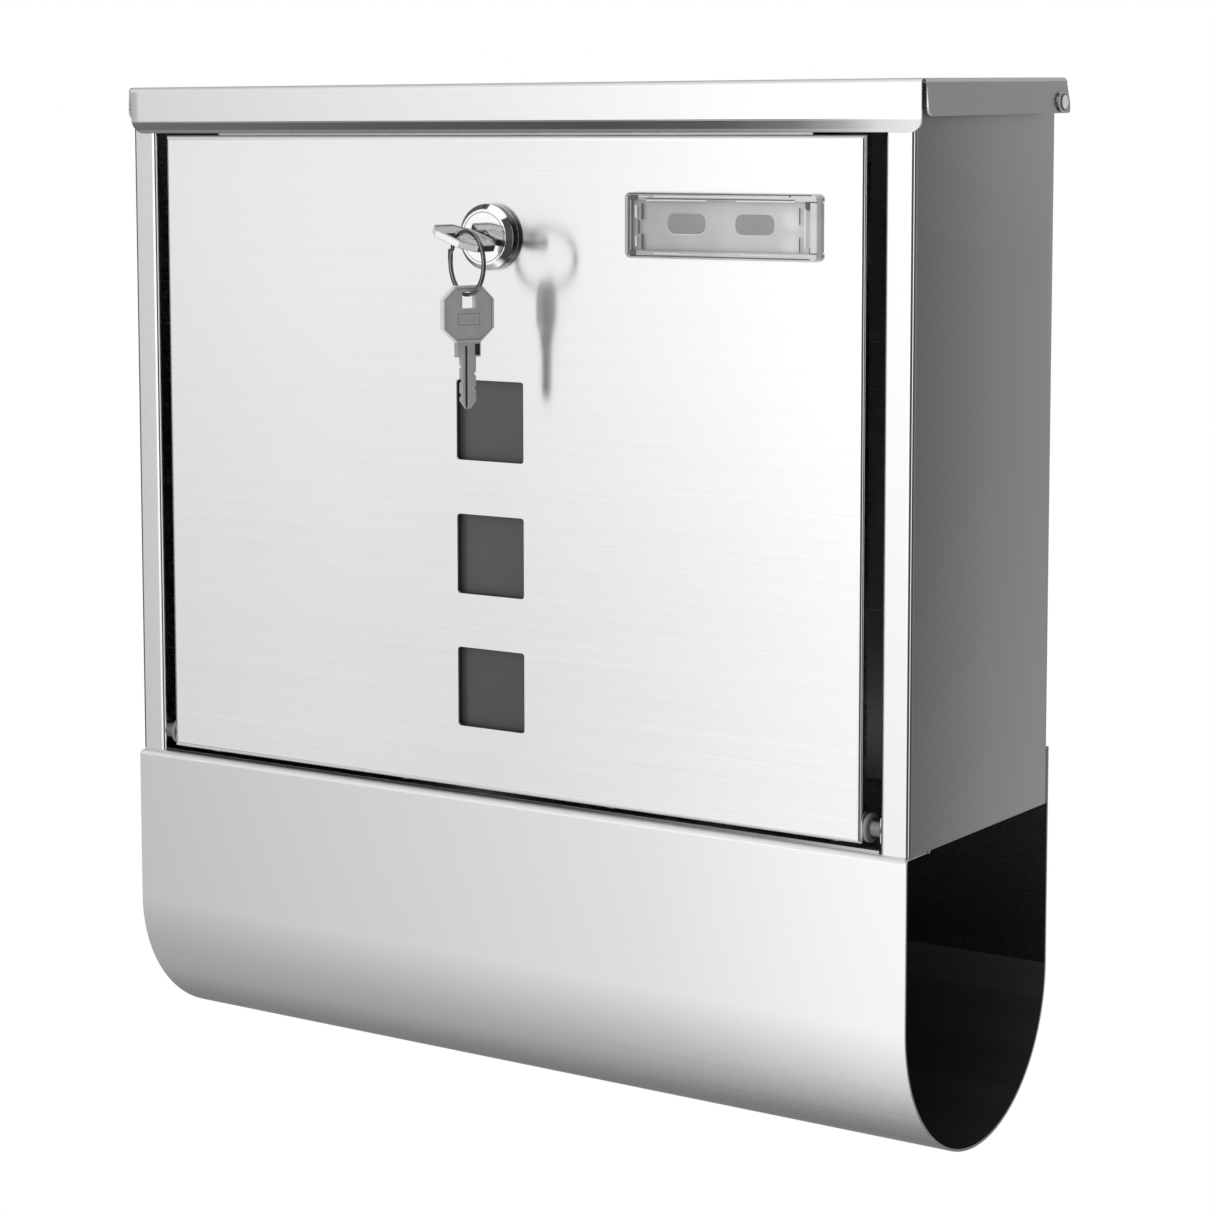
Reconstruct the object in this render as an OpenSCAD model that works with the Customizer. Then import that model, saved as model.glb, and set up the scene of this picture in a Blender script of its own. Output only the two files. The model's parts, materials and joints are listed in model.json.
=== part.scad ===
// Wall mounted mailbox: a folded steel body with a hinged lid over the letter slot, a drop-down
// door with a cam lock and three windows, a name plate, and an open roll for newspapers below.
// Every sub-part is drawn with Y = 0 on the front flanges and Z = 0 on the underside of the body,
// and hung() then moves it so that the origin is the centre of the wall holes, on the wall.

/* [Body] */
// Width of the body over its side panels
body_w = 300; // [250:5:360]
// Depth of the body from the front flanges to the back panel
body_d = 92; // [84:1:120]
// Height of the side panels at the front
body_h = 226; // [215:1:290]
// Thickness of the sheet that the whole box is folded from
sheet_t = 0.8; // [0.6:0.05:1]
// Inside radius of the folds
fold_r = 0.8; // [0.4:0.1:1]
// Width of the front flanges beside the door
flange_w = 10; // [8:0.5:14]
// Depth of the return behind each front flange
return_d = 3; // [2:0.25:4]

/* [Wall fixing] */
// Distance between the wall holes across the back
wall_pitch_x = 220; // [160:5:220]
// Distance between the wall holes up the back
wall_pitch_z = 120; // [80:5:130]
// Diameter of the wall holes
wall_hole_d = 6; // [4:0.5:8]
// Height of the pressed stand-offs round the wall holes
standoff_h = 4; // [3.5:0.25:6]
// Diameter of a stand-off where it leaves the back panel
standoff_d = 26; // [22:1:30]

/* [Lid] */
// Slope of the lid up towards the wall, in degrees
lid_slope = 0.9; // [0:0.1:2]
// Gap between the front flanges and the lid's lip
lip_gap = 1.4; // [1.2:0.1:3]
// Height of the lid's lip
lip_h = 15.5; // [13:0.5:17]
// Height of the stiffening fold along the lip's lower edge
hem_h = 4; // [3:0.25:5]
// Inward lean of that fold, in degrees
hem_lean = 13; // [0:1:14]
// Radius of the lip's lower corners
lip_corner_r = 4.5; // [2:0.5:6]
// Gap between the body's sides and the lid's side flaps
flap_gap = 1.7; // [1.5:0.1:3]
// Height of the side flaps
flap_h = 11; // [10.5:0.25:13]
// Outward splay of the side flaps, in degrees
flap_splay = 4; // [0:0.5:5]
// Distance of the lid's hinge axis from the body's back
lid_axis_in = 6; // [5:0.25:6.5]
// Depth of the lid's hinge axis below its top
lid_axis_down = 7.5; // [7:0.25:8]
// Diameter of the hinge rivets' shanks
lid_rivet_d = 3.4; // [3:0.1:4]
// Diameter of the hinge rivets' heads
lid_rivet_head = 6.2; // [5.5:0.1:7]

/* [Door] */
// Gap between the door and the front flange on each side
door_side_gap = 5.5; // [5:0.25:8]
// Height of the door's lower edge above the body's underside
door_low = 2.5; // [2:0.25:4]
// Gap between the door's upper edge and the lid's lip
door_top_gap = 0.6; // [0.4:0.1:2]
// How far the door's face stands in front of the flanges
door_proud = 1.2; // [0.8:0.1:1.6]
// Depth of the folded rim round the door
door_rim = 3.3; // [3:0.1:3.6]
// Distance of the door's hinge axis behind the flanges
door_axis_y = 3.4; // [3.2:0.1:4]
// Height of the door's hinge axis above the body's underside
door_axis_z = 6.9; // [6.7:0.1:8]
// Radius of the ears that carry the door's hinge pins
ear_r = 4.5; // [4:0.1:4.7]
// Diameter of the door's hinge pins
door_pin_d = 4; // [3:0.1:4.4]

/* [Windows] */
// Number of windows, one above the other
window_n = 3; // [1:1:3]
// Width of a window
window_w = 26; // [16:1:36]
// Height of a window
window_h = 25.6; // [16:0.2:28]
// Distance from one window to the next
window_pitch = 42.9; // [34:0.1:44]
// Corner radius of a window
window_r = 1; // [0.5:0.1:3]
// Distance from the lock's centre down to the middle of the top window
window_drop = 58.1; // [50:0.1:60]
// Thickness of the window strip
pane_t = 2; // [1:0.25:3]
// Lap of the window strip behind the door round the windows
pane_lap = 5; // [3:0.5:7]
// Thickness of the foam gasket between the door and the window strip
gasket_t = 1.7; // [1:0.1:2.5]
// How far the gasket stands back from the windows' edges
gasket_set = 0.5; // [0.2:0.1:1.5]

/* [Lock] */
// Sideways place of the lock from the middle of the door
lock_x = 1; // [-40:1:40]
// Distance from the door's upper edge down to the lock's centre
lock_drop = 31.7; // [28:0.1:36]
// Diameter of the lock's bezel at the door
bezel_d = 20.8; // [19:0.1:24]
// Diameter of the bezel's front face
bezel_face_d = 17.4; // [17:0.1:18.5]
// How far the lock stands in front of the door
bezel_h = 4.4; // [3.4:0.1:6]
// Diameter of the lock's barrel
barrel_d = 16.4; // [15.5:0.1:16.8]
// Length of the barrel behind the door's face
barrel_l = 20.8; // [20:0.2:26]
// Diameter of the turning plug
plug_d = 12; // [11:0.1:12.6]
// Diameter of the plug's front disc
plug_face_d = 15.6; // [14:0.1:16]
// Thickness of the plug's front disc
plug_face_t = 2.2; // [1.6:0.1:2.4]
// Width across the flats of the lock's nut
nut_af = 22; // [20:0.5:24]
// Thickness of the lock's nut
nut_t = 4; // [3:0.5:6]
// Thickness of the cam
cam_t = 2; // [1.5:0.1:3]
// Width of the cam
cam_w = 13; // [11:0.5:16]
// How far the locked cam reaches up behind the header rail
cam_hook = 13; // [6:0.5:16]
// Slant of the keyway from level, in degrees
key_tilt = 20; // [0:1:25]

/* [Keys] */
// Thickness of a key
key_t = 1.8; // [1.4:0.1:2]
// Width of a key's bow
bow_w = 18.2; // [17:0.1:21]
// Length of a key's bow
bow_l = 17.5; // [16:0.1:20]
// Size of the bow's cut corners
bow_cut = 4.4; // [3:0.1:5]
// Width of a key's shoulder
shoulder_w = 8.5; // [8:0.1:9.6]
// Length of a key's shoulder
shoulder_l = 4.5; // [4:0.1:5]
// Width of a key's blade
blade_w = 5; // [4.4:0.1:5.6]
// Length of a key's blade
blade_l = 16; // [14:0.1:16.4]
// Width of the hole in the bow
key_hole_w = 4.6; // [4.4:0.1:5.4]
// Length of the hole in the bow
key_hole_l = 5; // [4.5:0.1:6]
// Metal between the hole and the end of the bow
key_bridge = 2; // [1.5:0.1:2.2]
// Outer diameter of the key ring
ring_d = 20.6; // [20:0.1:24]
// Diameter of the key ring's wire
ring_wire = 1.2; // [1:0.1:1.3]

/* [Name plate] */
// Width of the name plate
plate_w = 66.9; // [60:0.1:80]
// Height of the name plate
plate_h = 19.8; // [16:0.2:24]
// Thickness of the name plate
plate_t = 2.5; // [2.2:0.1:4]
// Distance from the door's right edge to the middle of the name plate
plate_side = 48.2; // [46:0.1:60]
// Distance from the door's upper edge down to the middle of the name plate
plate_drop = 27.1; // [16:0.1:40]
// Width of each fixing lug behind the name plate
lug_w = 13.6; // [10:0.2:16]
// Height of each fixing lug
lug_h = 6.3; // [4:0.1:8]
// Distance between the two fixing lugs
lug_pitch = 25; // [20:0.5:36]

/* [Newspaper roll] */
// Height of the roll's straight walls
roll_leg = 52; // [30:1:80]
// How far the roll's front stands before the flanges
roll_proud = 1.7; // [1:0.1:3]
// Depth of the flange under the body
roll_flange = 15; // [12:0.5:20]
// Height of the lap behind the back panel
roll_lap = 18; // [14:0.5:24]
// Radius of the upper corners of the roll's front
roll_corner_r = 2; // [1:0.25:4]
// Number of rivets in each row
rivet_n = 4; // [2:1:6]
// Diameter of the rivets
rivet_d = 3.2; // [2.4:0.1:4]
// Diameter of the rivets' heads
rivet_head = 6.4; // [5:0.1:7]

/* [Fits] */
// Radial clearance of a pin or plug that turns in its hole
run_fit = 0.06; // [0.02:0.01:0.1]
// Clearance of a piece that is fixed in its hole
fix_fit = 0.1; // [0.02:0.01:0.2]
// Gap between pieces that move past each other
free_gap = 0.3; // [0.2:0.05:0.4]

/* [Hidden] */
$fn = 64;

// A little more than nothing, for cutters that run past a face
over = 1;
outer_r = fold_r + sheet_t;
half_w = body_w / 2;
flange_in = half_w - flange_w;

// Wall holes
mount_z = body_h / 2;
wall_y = body_d + standoff_h;
standoff_face_d = standoff_d - 2 * standoff_h;

// Lid
lid_y = -lip_gap - sheet_t;
lid_z = body_h + sheet_t + free_gap;
lid_len = body_d - lid_y - 0.5;
lid_axis_local = [body_d - lid_axis_in - lid_y, -lid_axis_down];
lid_axis_y = lid_y + lid_axis_local[0] * cos(lid_slope) - lid_axis_local[1] * sin(lid_slope);
lid_axis_z = lid_z + lid_axis_local[0] * sin(lid_slope) + lid_axis_local[1] * cos(lid_slope);
lid_half_w = half_w + flap_gap + sheet_t;
lip_half_w = lid_half_w - outer_r;
lid_sweep_r = lid_axis_down - sheet_t - free_gap;
lid_aside = flap_gap - free_gap;
lip_aside = 0.7;
flap_front = outer_r + 0.1;
flap_rear = 6.6;
flap_corner_r = 3;
flap_out = (lid_axis_down + lid_rivet_head / 2) * tan(flap_splay) + free_gap;
lid_washer_d = lid_rivet_head - 0.4;

// Door
door_half_w = flange_in - door_side_gap;
door_top = lid_z - lip_h - door_top_gap;
door_y = -door_proud;
door_skin_y = door_y + sheet_t;
door_h = door_top - door_low;
ear_x = door_half_w - sheet_t;
pin_collar_d = door_pin_d + 2;
door_washer_d = 2 * min(ear_r, door_axis_y + door_proud) - 0.2;
door_washer_t = 1.2;
pin_head_t = 1;
pin_end_d = 2 * (door_axis_y - outer_r) - 0.2;

// Lock
lock_z = door_top - lock_drop;
bezel_y = door_y - bezel_h;
bezel_step = 2.7;
barrel_end_y = door_y + barrel_l;
barrel_flat = barrel_d - 2;
plug_end_y = barrel_end_y + free_gap;
cam_end_y = plug_end_y + cam_t;
cam_square = 7;
screw_d = 4;
screw_l = 6;
screw_head_d = 7;
screw_head_t = 2.4;
washer_t = 0.8;
key_dish_d = 5;
wafer_n = 5;
wafer_t = 1;
wafer_w = 6;
wafer_pitch = 2.3;

// Header rail
header_front_y = max(door_y + door_rim + 0.6, return_d + fix_fit);
header_rear_y = barrel_end_y - sheet_t + 0.1;
header_top = body_h - 1.5;
header_low = door_top - 9;
header_front_h = 18;
cam_l = header_low + cam_hook - lock_z;

// Keys
shoulder_sink = 3.2;
key_seat_y = bezel_y + shoulder_sink;
key_hole_v = shoulder_l + bow_l - key_bridge - key_hole_l / 2;
ring_r = (ring_d - ring_wire) / 2;
ring_turn = 22;
ring_aside = 6.6;
ring_dir = [cos(ring_turn), -sin(ring_turn)];
bow_top_z = -key_hole_w / 2 * sin(key_tilt) + key_t / 2 / cos(key_tilt);
ring_reach = ring_aside - key_hole_w / 2;
ring_inner = ring_r - ring_wire / 2;
ring_x = lock_x + ring_aside * ring_dir[0];
ring_y = key_seat_y - key_hole_v + ring_aside * ring_dir[1];
ring_z = lock_z + bow_top_z + 0.5 - sqrt(ring_inner * ring_inner - ring_reach * ring_reach);
hang_z = ring_z - ring_r;

// Name plate
plate_x = door_half_w - plate_side;
plate_z = door_top - plate_drop;
plate_base_t = 1;
plate_wall = 1.3;
plate_lip = 0.9;
plate_lip_t = 0.6;
plate_bulge = 0.7;
plate_corner_r = 1.8;
plate_bulge_r = (plate_h * plate_h / 4 + plate_bulge * plate_bulge) / (2 * plate_bulge);
lug_wall = 0.9;
lug_back = 1.2;
cover_gap = 0.15;

// Newspaper roll
roll_front_y = -roll_proud;
roll_rear_y = body_d + sheet_t;
roll_r = (roll_rear_y - roll_front_y) / 2;
roll_mid_y = (roll_rear_y + roll_front_y) / 2;
roll_bend_r = 2;
rivet_row_y = 9;
rivet_row_z = roll_lap - 6;
rivet_end = 28;
tray_up = 8;

// ---- Shared shapes ----

// Moves a sub-part from its drawing place to its place on the wall
module hung() {
    translate([0, -wall_y, -mount_z]) children();
}

// Lays an outline drawn in Y and Z along X, from x0 to x1
module along_x(x0, x1) {
    translate([x0, 0, 0]) rotate([90, 0, 90]) linear_extrude(x1 - x0) children();
}

// Lays an outline drawn in X and Z along Y, from y0 to y1
module along_y(y0, y1) {
    translate([0, y1, 0]) rotate([90, 0, 0]) linear_extrude(y1 - y0) children();
}

// A round bar along X, from x0 to x1
module bar_x(x0, x1, d) {
    translate([x0, 0, 0]) rotate([0, 90, 0]) cylinder(h = x1 - x0, d = d);
}

// A round bar along Y, from y0 to y1
module bar_y(y0, y1, d, d2 = undef) {
    translate([0, y0, 0]) rotate([-90, 0, 0]) cylinder(h = y1 - y0, d1 = d, d2 = is_undef(d2) ? d : d2);
}

// A box between two corners
module block(low, high) {
    translate(low) cube(high - low);
}

// The same piece on the right and, mirrored, on the left
module both_sides() {
    children();
    mirror([1, 0, 0]) children();
}

// A fold: part of a ring that turns by angle a from straight down
module fold(a, r_in, t) {
    reach = 2 * (r_in + t);
    intersection() {
        difference() {
            circle(r = r_in + t);
            circle(r = r_in);
        }
        polygon(concat([[0, 0]], [for (i = [0:4]) reach * [sin(i * a / 4), -cos(i * a / 4)]]));
    }
}

// A folded strip: each step runs straight for a length, then turns left by an angle
module strip(steps, t, r_in, i = 0) {
    if (i < len(steps)) {
        run = steps[i][0];
        turn = steps[i][1];
        square([run, t]);
        if (turn > 0) {
            translate([run, t + r_in]) {
                fold(turn, r_in, t);
                rotate(turn) translate([0, -t - r_in]) strip(steps, t, r_in, i + 1);
            }
        }
    }
}

// A rectangle with round corners, about its middle
module round_rect(w, h, r) {
    square([w - 2 * r, h], center = true);
    square([w, h - 2 * r], center = true);
    for (x = [-1, 1], y = [-1, 1]) translate([x * (w / 2 - r), y * (h / 2 - r)]) circle(r = r);
}

// A slot with round ends, about its middle
module slot(w, h) {
    square([w - h, h], center = true);
    for (x = [-1, 1]) translate([x * (w - h) / 2, 0]) circle(d = h);
}

// What rounding the upper right corner of a sheet takes away, with the corner at 0
module corner_waste(r) {
    difference() {
        translate([-r, -r]) square(r + 0.2);
        translate([-r, -r]) circle(r = r);
    }
}

// A tray's outline: square at the back, round at its two front corners
module tray_outline(w, d, r) {
    translate([-w / 2, r]) square([w, d - r]);
    translate([-w / 2 + r, 0]) square([w - 2 * r, d]);
    for (x = [-1, 1]) translate([x * (w / 2 - r), r]) circle(r = r);
}

// A rivet along +Z: a domed head on z = 0, a shank down through the sheets, and a set end
module rivet(d, head, grip, set_d) {
    dome = head / 4;
    dome_r = (head * head / 4 + dome * dome) / (2 * dome);
    intersection() {
        translate([0, 0, dome - dome_r]) sphere(r = dome_r);
        cylinder(h = dome, d = head);
    }
    translate([0, 0, -grip - dome]) cylinder(h = grip + dome, d = d);
    translate([0, 0, -grip - dome]) cylinder(h = dome, d = set_d);
}

// ---- Body ----

module standoff_solid(grow) {
    rotate([-90, 0, 0]) {
        cylinder(h = standoff_h + grow, d1 = standoff_d - 2 * grow, d2 = standoff_face_d - 2 * grow);
    }
}

module at_wall_holes() {
    for (x = [-1, 1], z = [-1, 1]) {
        translate([x * wall_pitch_x / 2, body_d, mount_z + z * wall_pitch_z / 2]) children();
    }
}

// What the opening lid sweeps over the rear top corners
module lid_sweep_outline() {
    difference() {
        translate([lid_axis_y, lid_axis_z]) square([body_d, body_d]);
        translate([lid_axis_y, lid_axis_z]) circle(r = lid_sweep_r);
    }
}

module body_shell() {
    back_run = body_w - 2 * outer_r;
    side_run = body_d - 2 * outer_r;
    front_run = flange_w - 2 * outer_r;
    return_run = return_d - outer_r;
    color("gainsboro") hung() {
        difference() {
            union() {
                linear_extrude(body_h + body_d * tan(lid_slope) + over) both_sides() {
                    translate([0, body_d]) mirror([0, 1]) {
                        strip(
                            [[back_run / 2, 90], [side_run, 90], [front_run, 90], [return_run, 0]],
                            sheet_t, fold_r
                        );
                    }
                }
                both_sides() hinge_lug();
                at_wall_holes() translate([0, -sheet_t, 0]) standoff_solid(sheet_t);
            }
            at_wall_holes() {
                translate([0, -sheet_t - 0.01, 0]) rotate([-90, 0, 0]) {
                    cylinder(
                        h = standoff_h + 0.01,
                        d1 = standoff_d - 2 * sheet_t, d2 = standoff_face_d - 2 * sheet_t
                    );
                }
                bar_y(-over - sheet_t, standoff_h + over, wall_hole_d);
            }
            translate([0, 0, body_h]) rotate([lid_slope, 0, 0]) {
                block([-body_w, -body_d, 0], [body_w, 2 * body_d, body_d]);
            }
            along_x(-body_w, body_w) lid_sweep_outline();
            both_sides() translate([half_w, lid_axis_y, lid_axis_z]) {
                bar_x(-sheet_t - over, over, lid_rivet_d + 2 * fix_fit);
            }
            both_sides() translate([flange_in, door_axis_y, door_axis_z]) {
                bar_x(-over, sheet_t + over, door_pin_d + 2 * fix_fit);
            }
            for (x = rivet_places()) {
                translate([x, body_d, rivet_row_z]) bar_y(-sheet_t - over, over, rivet_d + 2 * fix_fit);
            }
        }
    }
}

// The lug at the foot of a flange's return, which carries a door hinge pin
module hinge_lug() {
    along_x(flange_in, flange_in + sheet_t) {
        intersection() {
            translate([door_axis_y, door_axis_z]) circle(r = ear_r);
            translate([sheet_t, 0]) square(3 * ear_r);
        }
        translate([outer_r, 0]) square([door_axis_y + ear_r - outer_r, door_axis_z]);
    }
}

// The rivets' places across the body
function rivet_places() = [
    for (i = [0:rivet_n - 1]) (half_w - rivet_end) * (2 * i / (rivet_n - 1) - 1)
];

module bottom_panel() {
    inner_w = body_w - 2 * sheet_t - 2 * fix_fit;
    front_w = 2 * flange_in - 1;
    front_y = sheet_t + fix_fit;
    notch_y = door_axis_y + ear_r + 1;
    back_y = body_d - sheet_t - fix_fit;
    color("silver") hung() difference() {
        union() {
            block([-front_w / 2, front_y, 0], [front_w / 2, notch_y + 1, sheet_t]);
            intersection() {
                along_x(-inner_w / 2, inner_w / 2) {
                    translate([notch_y, 0]) {
                        strip([[back_y - notch_y - outer_r, 90], [tray_up - outer_r, 0]], sheet_t, fold_r);
                    }
                }
                block([-inner_w / 2, notch_y, 0], [inner_w / 2, back_y, tray_up]);
            }
            both_sides() along_y(notch_y, back_y - outer_r - 0.2) {
                translate([inner_w / 2 - outer_r - 4, 0]) strip([[4, 90], [tray_up - outer_r, 0]], sheet_t, fold_r);
            }
            block([-inner_w / 2 + outer_r, notch_y, 0], [inner_w / 2 - outer_r, notch_y + 1, sheet_t]);
        }
        both_sides() {
            block([inner_w / 2 - outer_r, back_y - outer_r - 0.2, -over], [half_w, body_d, tray_up + over]);
        }
        for (x = rivet_places()) {
            translate([x, rivet_row_y, -over]) cylinder(h = 2 * over + sheet_t, d = rivet_d + 2 * fix_fit);
        }
    }
}

module header_rail() {
    run = header_rear_y + sheet_t - header_front_y - 2 * outer_r;
    inner_half = half_w - sheet_t - fix_fit;
    leg_half = door_half_w - 20;
    leg_h = header_top - outer_r - header_low;
    color("silver") hung() difference() {
        along_x(-inner_half, inner_half) {
            translate([header_front_y + outer_r, header_top]) mirror([0, 1]) {
                strip([[run, 90], [header_top - header_low - outer_r, 0]], sheet_t, fold_r);
                mirror([1, 0]) strip([[0.01, 90], [header_front_h - outer_r, 0]], sheet_t, fold_r);
            }
        }
        both_sides() translate([leg_half, header_front_y - over, header_low - over]) {
            cube([half_w, header_rear_y + sheet_t - header_front_y + 2 * over, leg_h + over]);
        }
    }
}

// ---- Newspaper roll ----

module roll_outline() {
    bend_in = roll_bend_r - sheet_t;
    translate([roll_front_y + roll_bend_r, -roll_bend_r]) rotate(180) fold(90, bend_in, sheet_t);
    translate([roll_front_y + roll_bend_r, -sheet_t]) square([roll_flange - roll_bend_r, sheet_t]);
    translate([roll_front_y, -roll_leg]) square([sheet_t, roll_leg - roll_bend_r]);
    translate([roll_rear_y - sheet_t, -roll_leg]) square([sheet_t, roll_leg + roll_lap]);
    translate([roll_mid_y, -roll_leg]) intersection() {
        difference() {
            circle(r = roll_r, $fn = 128);
            circle(r = roll_r - sheet_t, $fn = 128);
        }
        translate([-2 * roll_r, -2 * roll_r]) square([4 * roll_r, 2 * roll_r]);
    }
}

module newspaper_roll() {
    color("lightgray") hung() difference() {
        along_x(-half_w, half_w) roll_outline();
        both_sides() along_y(roll_front_y - over, roll_front_y + roll_flange - over) {
            translate([half_w, 0]) corner_waste(roll_corner_r);
        }
        for (x = rivet_places()) {
            translate([x, rivet_row_y, -over - sheet_t]) cylinder(h = 3 * over, d = rivet_d + 2 * fix_fit);
            translate([x, body_d, rivet_row_z]) bar_y(-over, sheet_t + over, rivet_d + 2 * fix_fit);
        }
    }
}

module roll_rivets() {
    color("whitesmoke") hung() for (x = rivet_places()) {
        translate([x, rivet_row_y, sheet_t]) rivet(rivet_d, rivet_head, 2 * sheet_t, rivet_head - 1);
        translate([x, body_d - sheet_t, rivet_row_z]) rotate([90, 0, 0]) {
            rivet(rivet_d, rivet_head, 2 * sheet_t, rivet_head - 1);
        }
    }
}

// ---- Lid ----

module lid_profile(top_len) {
    lip_run = lip_h - outer_r - hem_h;
    translate([outer_r, 0]) mirror([0, 1]) square([top_len - outer_r, sheet_t]);
    translate([outer_r, 0]) rotate(180) strip([[0.01, 90], [lip_run, hem_lean], [hem_h - 0.4, 0]], sheet_t, fold_r);
}

// The space in front of the lid's top, where the lip alone is
module lip_relief(from_x) {
    translate([from_x, -over, -2 * lip_h]) cube([lip_half_w, outer_r - 0.5 + over, 2 * lip_h + over]);
    translate([from_x, -over, -2 * lip_h]) cube([lip_half_w, 2 * outer_r + over, 2 * lip_h - flap_h - 0.2]);
}

module flap_outline() {
    r = flap_corner_r;
    translate([flap_front, -flap_h + r]) square([lid_axis_local[0] - flap_front, flap_h - r - 0.3]);
    translate([flap_front + r, -flap_h]) square([lid_axis_local[0] + flap_rear - 1.6 - flap_front - r, r]);
    translate([flap_front + r, -flap_h + r]) circle(r = r);
    translate([lid_axis_local[0] + flap_rear - 1.6, -flap_h + 1.6]) circle(r = 1.6);
    polygon([
        [lid_axis_local[0] - over, -flap_h + 1.6], [lid_axis_local[0] + flap_rear, -flap_h + 1.6],
        [lid_axis_local[0] + flap_rear, -lid_axis_down], [lid_len - 0.2, -outer_r],
        [lid_len - 0.4, -0.3], [lid_axis_local[0] - over, -0.3]
    ]);
}

module lid() {
    color("gainsboro") hung() translate([lid_aside, lid_y, lid_z]) rotate([lid_slope, 0, 0]) difference() {
        union() {
            along_x(-lip_half_w, lip_half_w) lid_profile(lid_len);
            intersection() {
                along_x(lip_half_w - 1, lip_half_w + lip_aside) lid_profile(2 * outer_r);
                lip_relief(lip_half_w - 1);
            }
            both_sides() translate([lid_half_w, 0, 0]) {
                translate([-outer_r, outer_r, -outer_r]) rotate([-90, 0, 0]) linear_extrude(lid_len - outer_r) {
                    intersection() {
                        difference() {
                            circle(r = outer_r);
                            circle(r = fold_r);
                        }
                        translate([0, -outer_r]) square(outer_r);
                    }
                }
                translate([-sheet_t, 0, -outer_r]) rotate([0, -flap_splay, 0]) translate([0, 0, outer_r]) {
                    along_x(0, sheet_t) intersection() {
                        flap_outline();
                        translate([0, -2 * flap_h - outer_r]) square([2 * body_d, 2 * flap_h]);
                    }
                }
            }
        }
        translate([-2 * lip_half_w + lip_aside, 0, 0]) lip_relief(0);
        translate([lip_aside, 0, 0]) both_sides() along_y(-over, outer_r + 2) {
            translate([lip_half_w, -lip_h]) mirror([0, 1]) corner_waste(lip_corner_r);
        }
        both_sides() translate([lid_half_w, lid_axis_local[0], lid_axis_local[1]]) {
            bar_x(-2 * over, 3 * over, lid_rivet_d + 2 * run_fit);
        }
    }
}

module lid_hinge_rivets() {
    color("whitesmoke") hung() for (side = [-1, 1]) {
        head_x = lid_half_w + flap_out + side * lid_aside;
        translate([side * head_x, lid_axis_y, lid_axis_z]) rotate([0, side * 90, 0]) {
            rivet(lid_rivet_d, lid_rivet_head, head_x - half_w + sheet_t, lid_rivet_head - 0.6);
        }
    }
}

module lid_hinge_washer() {
    washer_out = flap_gap + lid_aside - 0.2;
    color("whitesmoke") hung() translate([half_w, lid_axis_y, lid_axis_z]) difference() {
        bar_x(0, washer_out, lid_washer_d);
        bar_x(-over, washer_out + over, lid_rivet_d + 2 * fix_fit);
    }
}

// ---- Door ----

module door_ear() {
    along_x(ear_x, door_half_w) {
        intersection() {
            translate([door_axis_y, door_axis_z]) circle(r = ear_r);
            translate([door_skin_y, 0]) square(4 * ear_r);
        }
    }
}

module door_tray(shrink, back) {
    intersection() {
        translate([0, door_y + shrink, door_low + shrink]) {
            linear_extrude(door_h - 2 * shrink) {
                tray_outline(2 * door_half_w - 2 * shrink, back - shrink, outer_r - shrink);
            }
        }
        along_x(-door_half_w, door_half_w) {
            translate([door_y + shrink, door_low + door_h / 2]) rotate(-90) {
                tray_outline(door_h - 2 * shrink, back - shrink, outer_r - shrink);
            }
        }
    }
}

module window_outlines(grow = 0) {
    for (i = [0:window_n - 1]) translate([0, lock_z - window_drop - i * window_pitch]) {
        round_rect(window_w + 2 * grow, window_h + 2 * grow, window_r + grow);
    }
}

module door() {
    color("gainsboro") hung() difference() {
        union() {
            difference() {
                door_tray(0, door_rim);
                door_tray(sheet_t, door_rim + over);
            }
            both_sides() door_ear();
        }
        both_sides() translate([ear_x, door_axis_y, door_axis_z]) {
            bar_x(-over, sheet_t + over, door_pin_d + 2 * run_fit);
        }
        along_y(door_y - over, door_skin_y + 0.1) {
            window_outlines();
            translate([lock_x, lock_z]) circle(d = barrel_d + 2 * fix_fit);
            at_lugs() slot(lug_w + 2 * fix_fit, lug_h + 2 * fix_fit);
        }
    }
}

module door_hinge_pins() {
    ear_in = ear_x - free_gap;
    collar_x = door_half_w + door_washer_t + 2 * free_gap;
    lug_out = flange_in + sheet_t;
    color("whitesmoke") hung() both_sides() translate([0, door_axis_y, door_axis_z]) {
        bar_x(ear_in - pin_head_t, lug_out, door_pin_d);
        bar_x(ear_in - pin_head_t, ear_in, pin_collar_d);
        bar_x(collar_x, flange_in, pin_collar_d);
        bar_x(lug_out, lug_out + pin_head_t / 2, pin_end_d);
    }
}

module door_hinge_washers() {
    washer_x = door_half_w + free_gap;
    color("dimgray") hung() both_sides() translate([washer_x, door_axis_y, door_axis_z]) difference() {
        bar_x(0, door_washer_t, door_washer_d);
        bar_x(-over, door_washer_t + over, door_pin_d + 2 * fix_fit);
    }
}

module strip_outline() {
    strip_h = (window_n - 1) * window_pitch + window_h + 2 * pane_lap;
    middle_z = lock_z - window_drop - (window_n - 1) * window_pitch / 2;
    translate([0, middle_z]) round_rect(window_w + 2 * pane_lap, strip_h, 2);
}

module window_gasket() {
    color("black") hung() along_y(door_skin_y, door_skin_y + gasket_t) difference() {
        strip_outline();
        window_outlines(gasket_set);
    }
}

module window_pane() {
    color("dimgray", 0.8) hung() along_y(door_skin_y + gasket_t, door_skin_y + gasket_t + pane_t) {
        strip_outline();
    }
}

// ---- Lock ----

module at_lock() {
    hung() translate([lock_x, 0, lock_z]) children();
}

// The lock's turning parts and key, slanted with the keyway
module at_keyway() {
    at_lock() rotate([0, key_tilt, 0]) children();
}

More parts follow.
